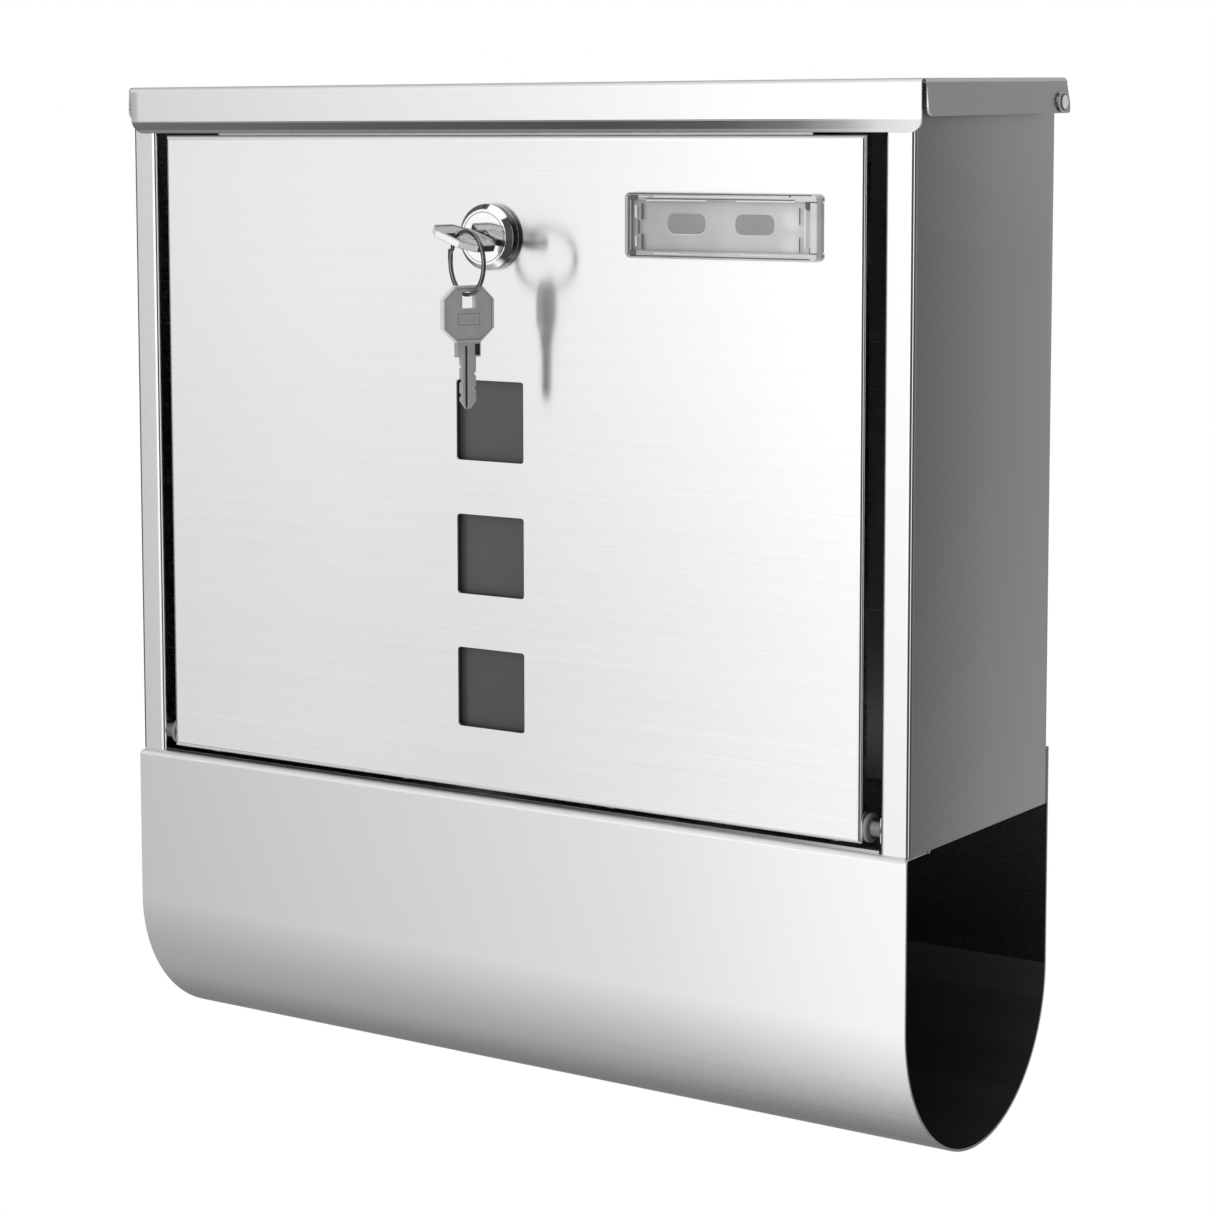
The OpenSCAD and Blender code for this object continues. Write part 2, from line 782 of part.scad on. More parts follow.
module lock_body() {
    color("lightgray") at_lock() difference() {
        union() {
            bar_y(bezel_y, door_y - bezel_step, bezel_face_d, bezel_d);
            bar_y(door_y - bezel_step, door_y, bezel_d);
            intersection() {
                bar_y(door_y, barrel_end_y, barrel_d);
                block([-barrel_d, door_y, -barrel_flat / 2], [barrel_d, barrel_end_y, barrel_flat / 2]);
            }
        }
        bar_y(bezel_y - over, barrel_end_y + over, plug_d + 2 * run_fit);
        bar_y(bezel_y - over, bezel_y + plug_face_t + fix_fit, plug_face_d + 2 * run_fit);
    }
}

module lock_nut() {
    color("gray") at_lock() difference() {
        translate([0, door_skin_y, 0]) rotate([-90, 0, 0]) {
            cylinder(h = nut_t, d = nut_af / cos(30), $fn = 6);
        }
        bar_y(door_skin_y - over, door_skin_y + nut_t + over, barrel_d + 2 * fix_fit);
    }
}

module at_wafers() {
    for (i = [0:wafer_n - 1]) translate([0, door_y + 2.4 + i * wafer_pitch, 0]) children();
}

module lock_plug() {
    slot_t = key_t + 0.4;
    slot_end = key_seat_y + blade_l + 0.5;
    color("silver") at_keyway() difference() {
        union() {
            bar_y(bezel_y, bezel_y + plug_face_t, plug_face_d);
            bar_y(bezel_y + plug_face_t, plug_end_y, plug_d);
            block([-cam_square / 2, plug_end_y, -cam_square / 2], [cam_square / 2, cam_end_y, cam_square / 2]);
        }
        block(
            [-shoulder_w / 2 - fix_fit, bezel_y - over, -slot_t / 2],
            [shoulder_w / 2 + fix_fit, key_seat_y + fix_fit, slot_t / 2]
        );
        block([-blade_w / 2 - fix_fit, bezel_y, -slot_t / 2], [blade_w / 2 + fix_fit, slot_end, slot_t / 2]);
        at_wafers() {
            block([-plug_d, -fix_fit, -wafer_w / 2 - fix_fit], [plug_d, wafer_t + fix_fit, wafer_w / 2 + fix_fit]);
        }
        bar_y(cam_end_y - screw_l - 0.4, cam_end_y + over, screw_d + 2 * fix_fit);
        bar_y(bezel_y - over, bezel_y + 1, key_dish_d + 2 * over, key_dish_d - 2);
    }
}

module lock_wafers() {
    wafer_h = sqrt(plug_d * plug_d - wafer_w * wafer_w) - 0.4;
    window_h2 = key_t / 2 + 0.2;
    window_w2 = blade_w / 2 + fix_fit;
    color("goldenrod") at_keyway() at_wafers() difference() {
        block([-wafer_h / 2, 0, -wafer_w / 2], [wafer_h / 2, wafer_t, wafer_w / 2]);
        block([-window_w2, -over, -window_h2], [window_w2, wafer_t + over, window_h2]);
    }
}

module lock_cam() {
    color("silver") at_keyway() difference() {
        along_y(plug_end_y, cam_end_y) {
            circle(d = cam_w + 3);
            translate([-cam_l, -cam_w / 2 + 2]) square([cam_l, cam_w - 4]);
            translate([-cam_l + 10, -cam_w / 2]) square([cam_l - 10, cam_w]);
        }
        square_hole = cam_square / 2 + fix_fit;
        block([-square_hole, barrel_end_y, -square_hole], [square_hole, cam_end_y + over, square_hole]);
    }
}

module cam_washer() {
    color("gray") at_keyway() difference() {
        bar_y(cam_end_y, cam_end_y + washer_t, cam_square * sqrt(2) + 2);
        bar_y(cam_end_y - over, cam_end_y + washer_t + over, screw_d + 2 * fix_fit);
    }
}

module cam_screw() {
    head_y = cam_end_y + washer_t;
    color("gray") at_keyway() difference() {
        union() {
            bar_y(cam_end_y - screw_l, head_y, screw_d);
            bar_y(head_y, head_y + screw_head_t, screw_head_d);
        }
        for (a = [0, 90]) rotate([0, a, 0]) {
            block([-2, head_y + 1, -0.4], [2, head_y + screw_head_t + over, 0.4]);
        }
    }
}

// ---- Keys ----

// A key's outline: its blade from v = 0 down, its shoulder and its bow from v = 0 up
module key_outline() {
    top = shoulder_l + bow_l;
    side = bow_w / 2;
    right = [
        [0.6, -blade_l], [blade_w / 2, 2.5 - blade_l], [blade_w / 2, 0],
        [shoulder_w / 2, 0], [shoulder_w / 2, shoulder_l], [side, shoulder_l + bow_cut],
        [side, top - bow_cut], [side - bow_cut, top]
    ];
    left = [for (i = [len(right) - 1:-1:0]) [-right[i][0], right[i][1]]];
    difference() {
        polygon(concat(right, left));
        translate([0, key_hole_v]) square([key_hole_w, key_hole_l], center = true);
        for (i = [0:4]) {
            translate([(i % 2 * 2 - 1) * blade_w / 2, -3 - 2.2 * i]) rotate(45) square(1, center = true);
        }
    }
}

// A key with a groove along each face of its blade, lying in X and Z with its bow up
module key_solid() {
    difference() {
        along_y(-key_t / 2, key_t / 2) key_outline();
        for (s = [-1, 1]) {
            block(
                [s * 0.9 - 0.45, s * key_t / 2 - 0.5, -blade_l - over],
                [s * 0.9 + 0.45, s * key_t / 2 + 0.5, shoulder_l - 1]
            );
        }
    }
}

module key_in_lock() {
    color("silver") at_keyway() translate([0, key_seat_y, 0]) rotate([90, 0, 0]) key_solid();
}

module key_ring() {
    color("silver") hung() translate([ring_x, ring_y, ring_z]) rotate([0, 0, -ring_turn]) {
        rotate([90, 0, 0]) rotate_extrude() translate([ring_r, 0]) circle(d = ring_wire, $fn = 24);
    }
}

module hanging_key() {
    top_seat = ring_wire / 2 + free_gap;
    color("silver") hung() translate([ring_x, ring_y, hang_z + top_seat]) {
        rotate([0, 0, 90 - ring_turn]) {
            translate([0, 0, -key_hole_v - key_hole_l / 2]) key_solid();
        }
    }
}

// ---- Name plate ----

module at_plate() {
    hung() translate([plate_x, 0, plate_z]) children();
}

module at_lugs() {
    for (x = [-1, 1]) translate([plate_x + x * lug_pitch / 2, plate_z]) children();
}

// The plate's outline, with round corners and ends that bulge a little
module plate_outline(w, h) {
    intersection() {
        round_rect(w, h, plate_corner_r);
        for (x = [-1, 1]) translate([x * (plate_bulge_r - w / 2), 0]) circle(r = plate_bulge_r, $fn = 128);
    }
}

module name_plate_base() {
    inner_h = plate_h - 2 * plate_wall;
    open_h = inner_h - 2 * plate_lip;
    front_y = door_y - plate_t;
    base_y = door_y - plate_base_t;
    color("lightgray", 0.6) {
        at_plate() difference() {
            along_y(front_y, door_y) plate_outline(plate_w, plate_h);
            along_y(front_y + plate_lip_t, base_y) {
                translate([-plate_w / 2 + plate_wall, -inner_h / 2]) square([plate_w, inner_h]);
            }
            along_y(front_y - over, base_y) {
                translate([-plate_w / 2 + plate_wall + plate_lip, -open_h / 2]) square([plate_w, open_h]);
            }
        }
        hung() along_y(door_y, door_skin_y + lug_back) at_lugs() difference() {
            slot(lug_w, lug_h);
            slot(lug_w - 2 * lug_wall, lug_h - 2 * lug_wall);
        }
    }
}

module name_plate_cover() {
    inner_h = plate_h - 2 * plate_wall - 2 * cover_gap;
    left = -plate_w / 2 + plate_wall + cover_gap;
    front_y = door_y - plate_t + plate_lip_t + cover_gap;
    color("whitesmoke", 0.5) at_plate() along_y(front_y, door_y - plate_base_t - cover_gap) {
        intersection() {
            translate([left, -inner_h / 2]) square([plate_w, inner_h]);
            plate_outline(plate_w, plate_h);
        }
    }
}

body_shell();
bottom_panel();
header_rail();
newspaper_roll();
roll_rivets();
lid();
lid_hinge_rivets();
lid_hinge_washer();
door();
door_hinge_pins();
door_hinge_washers();
window_gasket();
window_pane();
lock_body();
lock_nut();
lock_plug();
lock_wafers();
lock_cam();
cam_washer();
cam_screw();
key_in_lock();
key_ring();
hanging_key();
name_plate_base();
name_plate_cover();
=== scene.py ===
"""A wall mounted mailbox: finishes, dressed pieces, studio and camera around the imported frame."""

import json
import math

import bmesh
import bpy
from mathutils import Matrix, Vector


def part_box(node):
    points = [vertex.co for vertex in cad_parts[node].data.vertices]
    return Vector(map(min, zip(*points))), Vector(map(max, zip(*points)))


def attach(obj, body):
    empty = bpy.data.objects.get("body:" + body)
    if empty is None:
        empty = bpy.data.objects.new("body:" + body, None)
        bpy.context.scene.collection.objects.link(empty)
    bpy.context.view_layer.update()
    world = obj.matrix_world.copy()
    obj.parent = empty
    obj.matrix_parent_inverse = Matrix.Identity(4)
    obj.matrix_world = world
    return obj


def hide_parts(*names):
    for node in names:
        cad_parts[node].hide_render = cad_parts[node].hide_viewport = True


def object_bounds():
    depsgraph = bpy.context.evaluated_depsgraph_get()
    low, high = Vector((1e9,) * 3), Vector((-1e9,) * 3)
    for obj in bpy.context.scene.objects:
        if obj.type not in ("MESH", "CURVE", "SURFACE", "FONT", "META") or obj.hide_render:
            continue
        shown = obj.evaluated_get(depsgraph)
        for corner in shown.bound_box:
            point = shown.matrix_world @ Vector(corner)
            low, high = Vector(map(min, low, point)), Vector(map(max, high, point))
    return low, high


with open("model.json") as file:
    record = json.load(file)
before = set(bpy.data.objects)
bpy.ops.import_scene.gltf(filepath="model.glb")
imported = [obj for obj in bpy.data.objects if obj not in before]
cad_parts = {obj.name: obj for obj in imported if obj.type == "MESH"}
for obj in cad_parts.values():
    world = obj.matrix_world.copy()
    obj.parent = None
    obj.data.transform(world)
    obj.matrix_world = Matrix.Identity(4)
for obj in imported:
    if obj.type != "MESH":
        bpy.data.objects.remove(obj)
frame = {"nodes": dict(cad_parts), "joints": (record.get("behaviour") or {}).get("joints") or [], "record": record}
CAD_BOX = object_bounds()
RECORD = frame["record"]
JOINTS = {joint["name"]: joint for joint in frame["joints"]}
BODY_OF = {node: body for body, nodes in RECORD["behaviour"]["bodies"].items() for node in nodes}
SLOT_OF = {part["node"]: part["material_slot"] for part in RECORD["subparts"]}
MM = 0.001
SCENE = bpy.context.scene


# ---- Shader maths ----


class Wire:
    """An output of a shader node, which takes part in sums as a number does."""

    def __init__(self, paint, socket):
        self.paint, self.socket = paint, socket

    def _sum(self, operation, first, second):
        return self.paint.node("ShaderNodeMath", {"operation": operation}, {0: first, 1: second})

    def __add__(self, other):
        return self._sum("ADD", self, other)

    def __sub__(self, other):
        return self._sum("SUBTRACT", self, other)

    def __rsub__(self, other):
        return self._sum("SUBTRACT", other, self)

    def __mul__(self, other):
        return self._sum("MULTIPLY", self, other)

    __radd__ = __add__
    __rmul__ = __mul__


class Paint:
    """The nodes of one material, or of the world where it is given, built one by one."""

    def __init__(self, name, world=None):
        self.material = world or bpy.data.materials.new(name)
        self.material.use_nodes = True
        self.tree = self.material.node_tree
        self.tree.nodes.clear()

    def node(self, kind, settings=None, inputs=None, output=0):
        """Adds a node: its settings first, then the value or link of each input."""
        made = self.tree.nodes.new(kind)
        for name, value in (settings or {}).items():
            if name == "stops":
                ramp = made.color_ramp
                for place, level in value[2:]:
                    ramp.elements.new(place)
                for stop, (place, level) in zip(ramp.elements, sorted(value)):
                    stop.position = place
                    stop.color = (level, level, level, 1)
            else:
                setattr(made, name, value)
        for name, value in (inputs or {}).items():
            if isinstance(value, Wire):
                self.tree.links.new(value.socket, made.inputs[name])
            else:
                made.inputs[name].default_value = value
        return Wire(self, made.outputs[output]) if made.outputs else None

    def place(self, scale=(1, 1, 1)):
        """The object's own coordinates, scaled along each axis."""
        where = self.node("ShaderNodeTexCoord", output="Object")
        return self.node("ShaderNodeMapping", inputs={"Vector": where, "Scale": scale})

    def vector_maths(self, operation, first, second=None, output="Value"):
        inputs = {0: first} if second is None else {0: first, 1: second}
        return self.node("ShaderNodeVectorMath", {"operation": operation}, inputs, output)

    def clamped(self, value):
        return self.node("ShaderNodeClamp", inputs={"Value": value})

    def noise(self, scale, detail, roughness):
        """Soft noise, with that many waves to a metre along each axis."""
        return self.node(
            "ShaderNodeTexNoise",
            {"noise_dimensions": "3D"},
            {"Vector": self.place(scale), "Scale": 1.0, "Detail": detail, "Roughness": roughness},
        )

    def blend(self, factor, first, second):
        """A mix of two colours."""
        return self.node(
            "ShaderNodeMix", {"data_type": "RGBA"}, {0: factor, 6: first, 7: second}, output=2
        )

    def along(self, axis, *stops):
        """A level that changes along an axis of the object, from stops of (place, level)."""
        first, last = stops[0][0], stops[-1][0]
        spot = self.node("ShaderNodeSeparateXYZ", inputs={0: self.place()}, output=axis)
        reach = last - first
        share = (spot - first) * (1 / reach)
        return self.ramp(share, *[((place - first) / reach, level) for place, level in stops])

    def tinted(self, colour, level):
        """A colour made darker by a level."""
        return self.node(
            "ShaderNodeMix", {"data_type": "RGBA", "blend_type": "MULTIPLY"},
            {0: 1.0, 6: colour, 7: level}, output=2,
        )

    def ramp(self, value, *stops):
        """A level that follows a value, from stops of (value, level)."""
        return self.node("ShaderNodeValToRGB", {"stops": list(stops)}, {"Fac": value})

    def bump(self, height, strength, distance):
        return self.node(
            "ShaderNodeBump", inputs={"Height": height, "Strength": strength, "Distance": distance}
        )

    def surface(self, **inputs):
        """The Principled shader; an underscore in a name stands for a space."""
        named = {name.replace("_", " "): value for name, value in inputs.items()}
        shader = self.node("ShaderNodeBsdfPrincipled", inputs=named)
        self.node("ShaderNodeOutputMaterial", inputs={"Surface": shader})
        return self.material


def grey(level):
    return (level, level, level, 1)


# ---- Finishes, with painted light and shade ----


def brushed_steel(name, level, roughness, along="X", streak=0.05, cloud=0.05, painted_shading=None):
    """Stainless sheet brushed along X or Y: fine scratches, a faint cloud, and a given painted light and shade."""
    paint = Paint(name)

    def scratches(length, width):
        return (length, width, width) if along == "X" else (width, length, width)

    fine = paint.noise(scratches(14, 2400), 3.0, 0.65)
    broad = paint.noise(scratches(5, 420), 2.0, 0.6)
    smudge = paint.noise((9, 9, 11), 3.0, 0.55)
    grain = (fine - 0.5) + (broad - 0.5) * 0.6
    mottled = (smudge - 0.5) * cloud
    shade = paint.clamped(0.5 + grain * streak * 4 + mottled * 4)
    colour = paint.blend(shade, grey(level * 0.9), grey(level * 1.1))
    if painted_shading:
        colour = paint.tinted(colour, painted_shading(paint))
    rough = roughness + grain * 0.10 + mottled * 0.6
    inputs = {
        "Base_Color": colour,
        "Metallic": 1.0,
        "Roughness": rough,
        "Anisotropic": 0.85,
        "Normal": paint.bump(grain, 0.12, 0.00002),
    }
    if along == "X":
        around = {"direction_type": "RADIAL", "axis": "X"}
        inputs["Tangent"] = paint.node("ShaderNodeTangent", around)
    else:
        inputs["Anisotropic_Rotation"] = 0.25
    return paint.surface(**inputs)


def dark_sheet(name):
    """The inside of the newspaper roll: near-black as painted shade, with faint streaks along it; its upper part
    is painted lighter and glows faintly, as painted light.
    """
    paint = Paint(name)
    streaks = paint.noise((3, 160, 160), 3.0, 0.6)
    colour = paint.blend(streaks, grey(0.030), grey(0.072))
    colour = paint.tinted(colour, paint.along(2, (-0.180, 0.58), (-0.150, 1.0)))
    return paint.surface(
        Base_Color=colour, Roughness=0.42 + streaks * 0.2, Specular_IOR_Level=0.12,
        Emission_Color=paint.along(2, (-0.172, 0.0), (-0.150, 0.0042)), Emission_Strength=1.0,
        Normal=paint.bump(streaks, 0.15, 0.0003),
    )


def plated(name, level, roughness, wear=0.08, scratch=0.2, metallic=1.0, grazing=1.0):
    """Nickel, zinc or chrome plating with small pits and rubbed patches.

    With grazing below 1 it shines less at flat angles, such as a key mirrored in the door.
    """
    paint = Paint(name)
    pits = paint.noise((2600, 2600, 2600), 3.0, 0.6)
    rubs = paint.noise((260, 260, 420), 3.0, 0.6)
    colour = paint.blend(rubs, grey(level * (1 - wear)), grey(min(1.0, level * (1 + wear))))
    rough = roughness + (rubs - 0.5) * wear * 1.4 + (pits - 0.5) * wear * 0.6
    return paint.surface(
        Base_Color=colour, Metallic=metallic, Roughness=rough,
        Normal=paint.bump(pits, scratch, 0.00004),
        Specular_IOR_Level=0.5 * grazing, Specular_Tint=grey(grazing),
    )


def rivet_polish(name):
    """The lid's rivets: a bright middle of painted highlight in a dark rim of painted shade."""
    paint = Paint(name)
    _, axis_y, axis_z = JOINTS["lid_open"]["pos_m"]
    flat = paint.vector_maths("MULTIPLY", paint.place(), (0, 1, 1), "Vector")
    away = paint.vector_maths("DISTANCE", flat, (0, axis_y, axis_z))
    pits = paint.noise((2600, 2600, 2600), 3.0, 0.6)
    radii_to_metre = 357
    rings = ((0.0, 0.95), (0.72, 0.92), (0.80, 0.08), (0.90, 0.08), (0.97, 0.5))
    return paint.surface(
        Base_Color=paint.ramp(away * radii_to_metre, *rings),
        Metallic=0.25, Roughness=0.22 + pits * 0.1,
    )


def brass(name):
    paint = Paint(name)
    rubs = paint.noise((500, 500, 500), 2.0, 0.6)
    colour = paint.blend(rubs, (0.55, 0.38, 0.14, 1), (0.78, 0.60, 0.28, 1))
    return paint.surface(Base_Color=colour, Metallic=1.0, Roughness=0.25 + rubs * 0.2)


def smoked_plastic(name):
    """The window strip: smoked, glossy, with the faintest moulding waves, and painted shade that darkens it
    towards the bottom.
    """
    paint = Paint(name)
    waves = paint.noise((30, 30, 26), 2.0, 0.5)
    dust = paint.noise((900, 900, 900), 2.0, 0.6)
    colour = paint.blend(waves, grey(0.092), grey(0.112))
    colour = paint.tinted(colour, paint.along(2, (-0.096, 0.80), (-0.030, 0.93), (0.030, 1.0)))
    return paint.surface(
        Base_Color=colour, Roughness=0.16 + dust * 0.08, Specular_IOR_Level=0.22,
        Normal=paint.bump(waves, 0.1, 0.0004),
    )


def clear_plastic(name, level, alpha, roughness):
    """Moulded clear plastic gone a little cloudy, which shows the sheet behind it."""
    paint = Paint(name)
    cloudy = paint.noise((60, 60, 60), 4.0, 0.6)
    flecks = paint.noise((420, 420, 420), 2.0, 0.6)
    colour = paint.blend(cloudy, grey(level * 0.82), grey(level * 1.18))
    return paint.surface(
        Base_Color=colour, Roughness=roughness + flecks * 0.1,
        Alpha=alpha + (cloudy - 0.5) * 0.12, Normal=paint.bump(flecks, 0.08, 0.0001),
    )


def plate_plastic(name, left, right):
    """The name plate's plastic: lighter towards the right and round two spots, and cloudy."""
    paint = Paint(name)
    low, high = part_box("name_plate_base")
    cloudy = paint.noise((70, 70, 90), 2.0, 0.5)
    grain = paint.noise((900, 900, 900), 2.0, 0.6)
    share = paint.along(0, (low.x, 0.0), (high.x, 0.7)) + (cloudy - 0.5) * 0.5
    radii_to_metre = 200
    for across, up in ((24.0, 2.0), (23.7, -5.5)):
        spot = (low + high) / 2 + Vector((across * MM, 0, up * MM))
        spot.y = high.y
        away = paint.vector_maths("DISTANCE", paint.place(), spot)
        share = share + paint.ramp(away * radii_to_metre, (0.3, 0.55), (1.0, 0.0))
    colour = paint.blend(paint.clamped(share), grey(left), grey(right))
    return paint.surface(
        Base_Color=colour, Roughness=0.30 + (grain - 0.5) * 0.1, Specular_IOR_Level=0.3,
        Normal=paint.bump(grain, 0.08, 0.00005),
    )


def moulded_plastic(name, level, roughness=0.45):
    paint = Paint(name)
    grain = paint.noise((1500, 1500, 1500), 2.0, 0.6)
    colour = paint.blend(grain, grey(level * 0.85), grey(level * 1.15))
    return paint.surface(
        Base_Color=colour, Roughness=roughness + (grain - 0.5) * 0.1,
        Normal=paint.bump(grain, 0.1, 0.00005),
    )


CAD_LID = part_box("lid")


def side_shade(paint):
    """Painted shade: the side panels are darker towards the front and a little lighter towards the bottom."""
    deep = paint.along(1, (-0.096, 0.56), (-0.082, 0.65), (-0.045, 0.89), (-0.010, 1.0))
    return deep * paint.along(
        2, (-0.110, 1.0), (-0.040, 0.86), (0.0, 0.79), (0.060, 0.75), (0.100, 0.82)
    )


def bottom_shade(paint):
    """Painted shadow of the door on the bottom panel's front edge, less so at its right."""
    across = paint.along(0, (-0.140, 0.05), (0.020, 0.07), (0.105, 0.30), (0.134, 0.62))
    deep = paint.along(1, (-0.088, 0.0), (-0.084, 1.0))
    return across + deep * (1 - across)


def door_shade(paint):
    """Painted light: the door is a little brighter at its left, and a little darker towards its top."""
    across = paint.along(0, (-0.134, 1.0), (-0.060, 0.955), (0.0, 0.885), (0.134, 0.88))
    return across * paint.along(2, (-0.110, 1.0), (0.098, 0.95))


def roll_shade(paint):
    """Painted light: the newspaper roll is a little brighter at its right."""
    return paint.along(0, (-0.150, 0.92), (0.060, 0.92), (0.140, 1.0))


def lip_shade(paint):
    """Painted shade of a soft dent: the lip is darker at its left end."""
    left = CAD_LID[0].x
    return paint.along(0, (left + 2.6 * MM, 0.60), (left + 5.2 * MM, 0.72), (left + 6.4 * MM, 1.0))


def hem_shade(paint):
    """Painted shade and highlight: the fold under the lip is dark in the middle, and its rolled edge is lighter.
    """
    across = paint.along(
        0, (-0.150, 0.31), (-0.120, 0.26), (-0.040, 0.155), (0.040, 0.115), (0.085, 0.14),
        (0.112, 0.25), (0.128, 0.52), (0.139, 0.88), (0.150, 1.0),
    )
    low = CAD_LID[0].z
    edge = paint.along(
        2, (low + 0.20 * MM, 0.06), (low + 0.34 * MM, 0.24),
        (low + 0.95 * MM, 0.24), (low + 1.1 * MM, 0.0),
    )
    return across + edge * (1 - across)


BODY_FRONT = brushed_steel("steel_body_front", 0.79, 0.25)
BODY_SIDE = brushed_steel(
    "steel_body_side", 1.0, 0.27, along="Y", streak=0.025, painted_shading=side_shade
)
BOTTOM_STEEL = brushed_steel("steel_bottom", 0.79, 0.25, painted_shading=bottom_shade)
LID_SIDE = brushed_steel("steel_lid_side", 0.80, 0.27, along="Y")
LID_FRONT = brushed_steel(
    "steel_lid_front", 0.83, 0.25, streak=0.15, cloud=0.08, painted_shading=lip_shade
)
LID_HEM = brushed_steel("steel_lid_hem", 0.79, 0.25, painted_shading=hem_shade)
DOOR_FRONT = brushed_steel(
    "steel_door_front", 0.93, 0.17, streak=0.12, cloud=0.08, painted_shading=door_shade
)
DOOR_SIDE = brushed_steel("steel_door_side", 0.78, 0.27, along="Y")
ROLL_OUTSIDE = brushed_steel("steel_roll_outside", 0.86, 0.26, streak=0.03, painted_shading=roll_shade)
ROLL_INSIDE = dark_sheet("steel_roll_inside")
ZINC = plated("zinc_plating", 0.62, 0.30, scratch=0.04)
PIN_STEEL = plated("pin_steel", 0.20, 0.35, scratch=0.04)
CHROME = plated("chrome_plating", 0.86, 0.07, wear=0.03, scratch=0.04)
STEEL_FOLD = plated("steel_fold", 0.80, 0.12, wear=0.02, scratch=0.0)
STEEL_EDGE = plated("steel_edge", 0.80, 0.45, wear=0.03, scratch=0.0, metallic=0.55)
CHROME_SHADE = plated("chrome_in_shadow", 0.16, 0.12, wear=0.03, scratch=0.04)
RIVET_PAINTED_LIGHT = rivet_polish("rivet_polish")
NICKEL = plated("nickel_plating", 0.56, 0.36, wear=0.12, scratch=0.12, metallic=0.45, grazing=0.0)
# The key in the lock takes a darker copy of the nickel: painted shade.
NICKEL_SHADED = plated("nickel_turned_in", 0.40, 0.30, wear=0.14, scratch=0.12, metallic=0.6)
# A bright nickel for the edges of the keys' bows that face the bow's end: painted highlight.
KEY_HIGHLIGHT = plated("nickel_edge", 0.92, 0.30, wear=0.03, scratch=0.1, metallic=0.25)
BRASS = brass("wafer_brass")
SMOKED = smoked_plastic("window_smoked")
# A dark nickel for the keys' grooves, other edges of their bows and the shoulder's step: painted shade.
KEY_SHADE = plated("nickel_in_shadow", 0.10, 0.45, wear=0.1, scratch=0.2)
# A lighter nickel for the raised rims, painted highlight, and a darker one for thin lines round the rims and
# panels, painted shade.
KEY_RIM = plated("nickel_rim", 0.66, 0.36, wear=0.12, scratch=0.12, metallic=0.45, grazing=0.0)
KEY_LINE = plated("nickel_line", 0.32, 0.45, wear=0.2, scratch=0.12, metallic=0.5)
RING_STEEL = plated("ring_steel", 0.36, 0.20, wear=0.06, scratch=0.1)
PLATE_FRAME = plate_plastic("plate_frame", 0.35, 0.90)
# Lighter and darker copies of the plate's plastic for thin ribs and the slots: painted highlights and painted
# shade.
PLATE_HIGHLIGHT = plate_plastic("plate_light", 0.72, 0.85)
PLATE_SHADE = plate_plastic("plate_dark", 0.10, 0.12)
PLATE_SLOT = plate_plastic("plate_slot", 0.15, 0.25)
COVER_CLEAR = clear_plastic("cover_clear", 0.85, 0.12, 0.12)
WASHER_PLASTIC = moulded_plastic("washer_plastic", 0.22)
GASKET_FOAM = moulded_plastic("gasket_foam", 0.02, 0.7)
SLOT_MATERIALS = {
    "body_steel": (BODY_FRONT, BODY_SIDE),
    "door_steel": (DOOR_FRONT, DOOR_SIDE),
    "roll_steel": (ROLL_OUTSIDE, ROLL_INSIDE),
    "fastener_steel": (ZINC,),
    "washer_plastic": (WASHER_PLASTIC,),
    "gasket_foam": (GASKET_FOAM,),
    "window_smoked": (SMOKED,),
    "lock_chrome": (CHROME,),
    "wafer_brass": (BRASS,),
    "key_nickel": (NICKEL,),
    "plate_clear": (PLATE_FRAME,),
}


# ---- Making pieces ----

# A face counts as a side by this part of its normal, and as a broad one by its area
SIDE_AREA = 0.003
SIDEWAYS = 0.72
SIDE_SLOT, HEM_SLOT, PLAIN_SLOT = 1, 2, 2
SHARP_ANGLE = math.radians(35)


def new_object(name, mesh):
    made = bpy.data.objects.new(name, mesh)
    SCENE.collection.objects.link(made)
    return made


def applied(source, name):
    """A plain mesh object of what source shows with its modifiers; source is removed."""
    bpy.context.view_layer.update()
    shown = source.evaluated_get(bpy.context.evaluated_depsgraph_get())
    mesh = bpy.data.meshes.new_from_object(shown)
    bpy.data.objects.remove(source)
    made = new_object(name, mesh)
    mesh.name = name
    return made


def softened(made, width, segments=2):
    """Rounds the sharp edges of a piece a little, so that they catch the light."""
    for face in made.data.polygons:
        face.use_smooth = True
    made.data.set_sharp_from_angle(angle=SHARP_ANGLE)
    if width:
        bevel = made.modifiers.new("edge", "BEVEL")
        bevel.width = width
        bevel.segments = segments
        bevel.limit_method = "ANGLE"
        bevel.angle_limit = SHARP_ANGLE
        bevel.harden_normals = True
        bevel.use_clamp_overlap = True
        flatter = made.modifiers.new("flatter", "WEIGHTED_NORMAL")
        flatter.keep_sharp = True
        flatter.weight = 90
    return applied(made, made.name)


def merged_copy(node, name):
    """A copy of a CAD node with its triangles joined into whole faces."""
    mesh = bpy.data.meshes.new(name)
    work = bmesh.new()
    work.from_mesh(frame["nodes"][node].data)
    bmesh.ops.remove_doubles(work, verts=work.verts, dist=2e-6)
    bmesh.ops.dissolve_limit(
        work, angle_limit=math.radians(0.4), verts=work.verts, edges=work.edges
    )
    work.to_mesh(mesh)
    work.free()
    return new_object(name, mesh)


def finished(piece, node):
    """Hangs a piece on its CAD body, and lets it stand for its node."""
    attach(piece, BODY_OF[node])
    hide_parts(node)
    return piece


def painted(piece, materials, choose=None):
    """Gives a piece its materials; choose says which one a face takes."""
    piece.data.materials.clear()
    for material in materials:
        piece.data.materials.append(material)
    for face in piece.data.polygons:
        face.material_index = choose(face) if choose else 0
    return piece


def axes_at(origin, across, up):
    """Turns (across, up, out) in a tilted plane into a place; out is the plane's normal."""
    across, up = Vector(across).normalized(), Vector(up).normalized()
    return lambda a, b, c: Vector(origin) + across * a + up * b + across.cross(up) * c


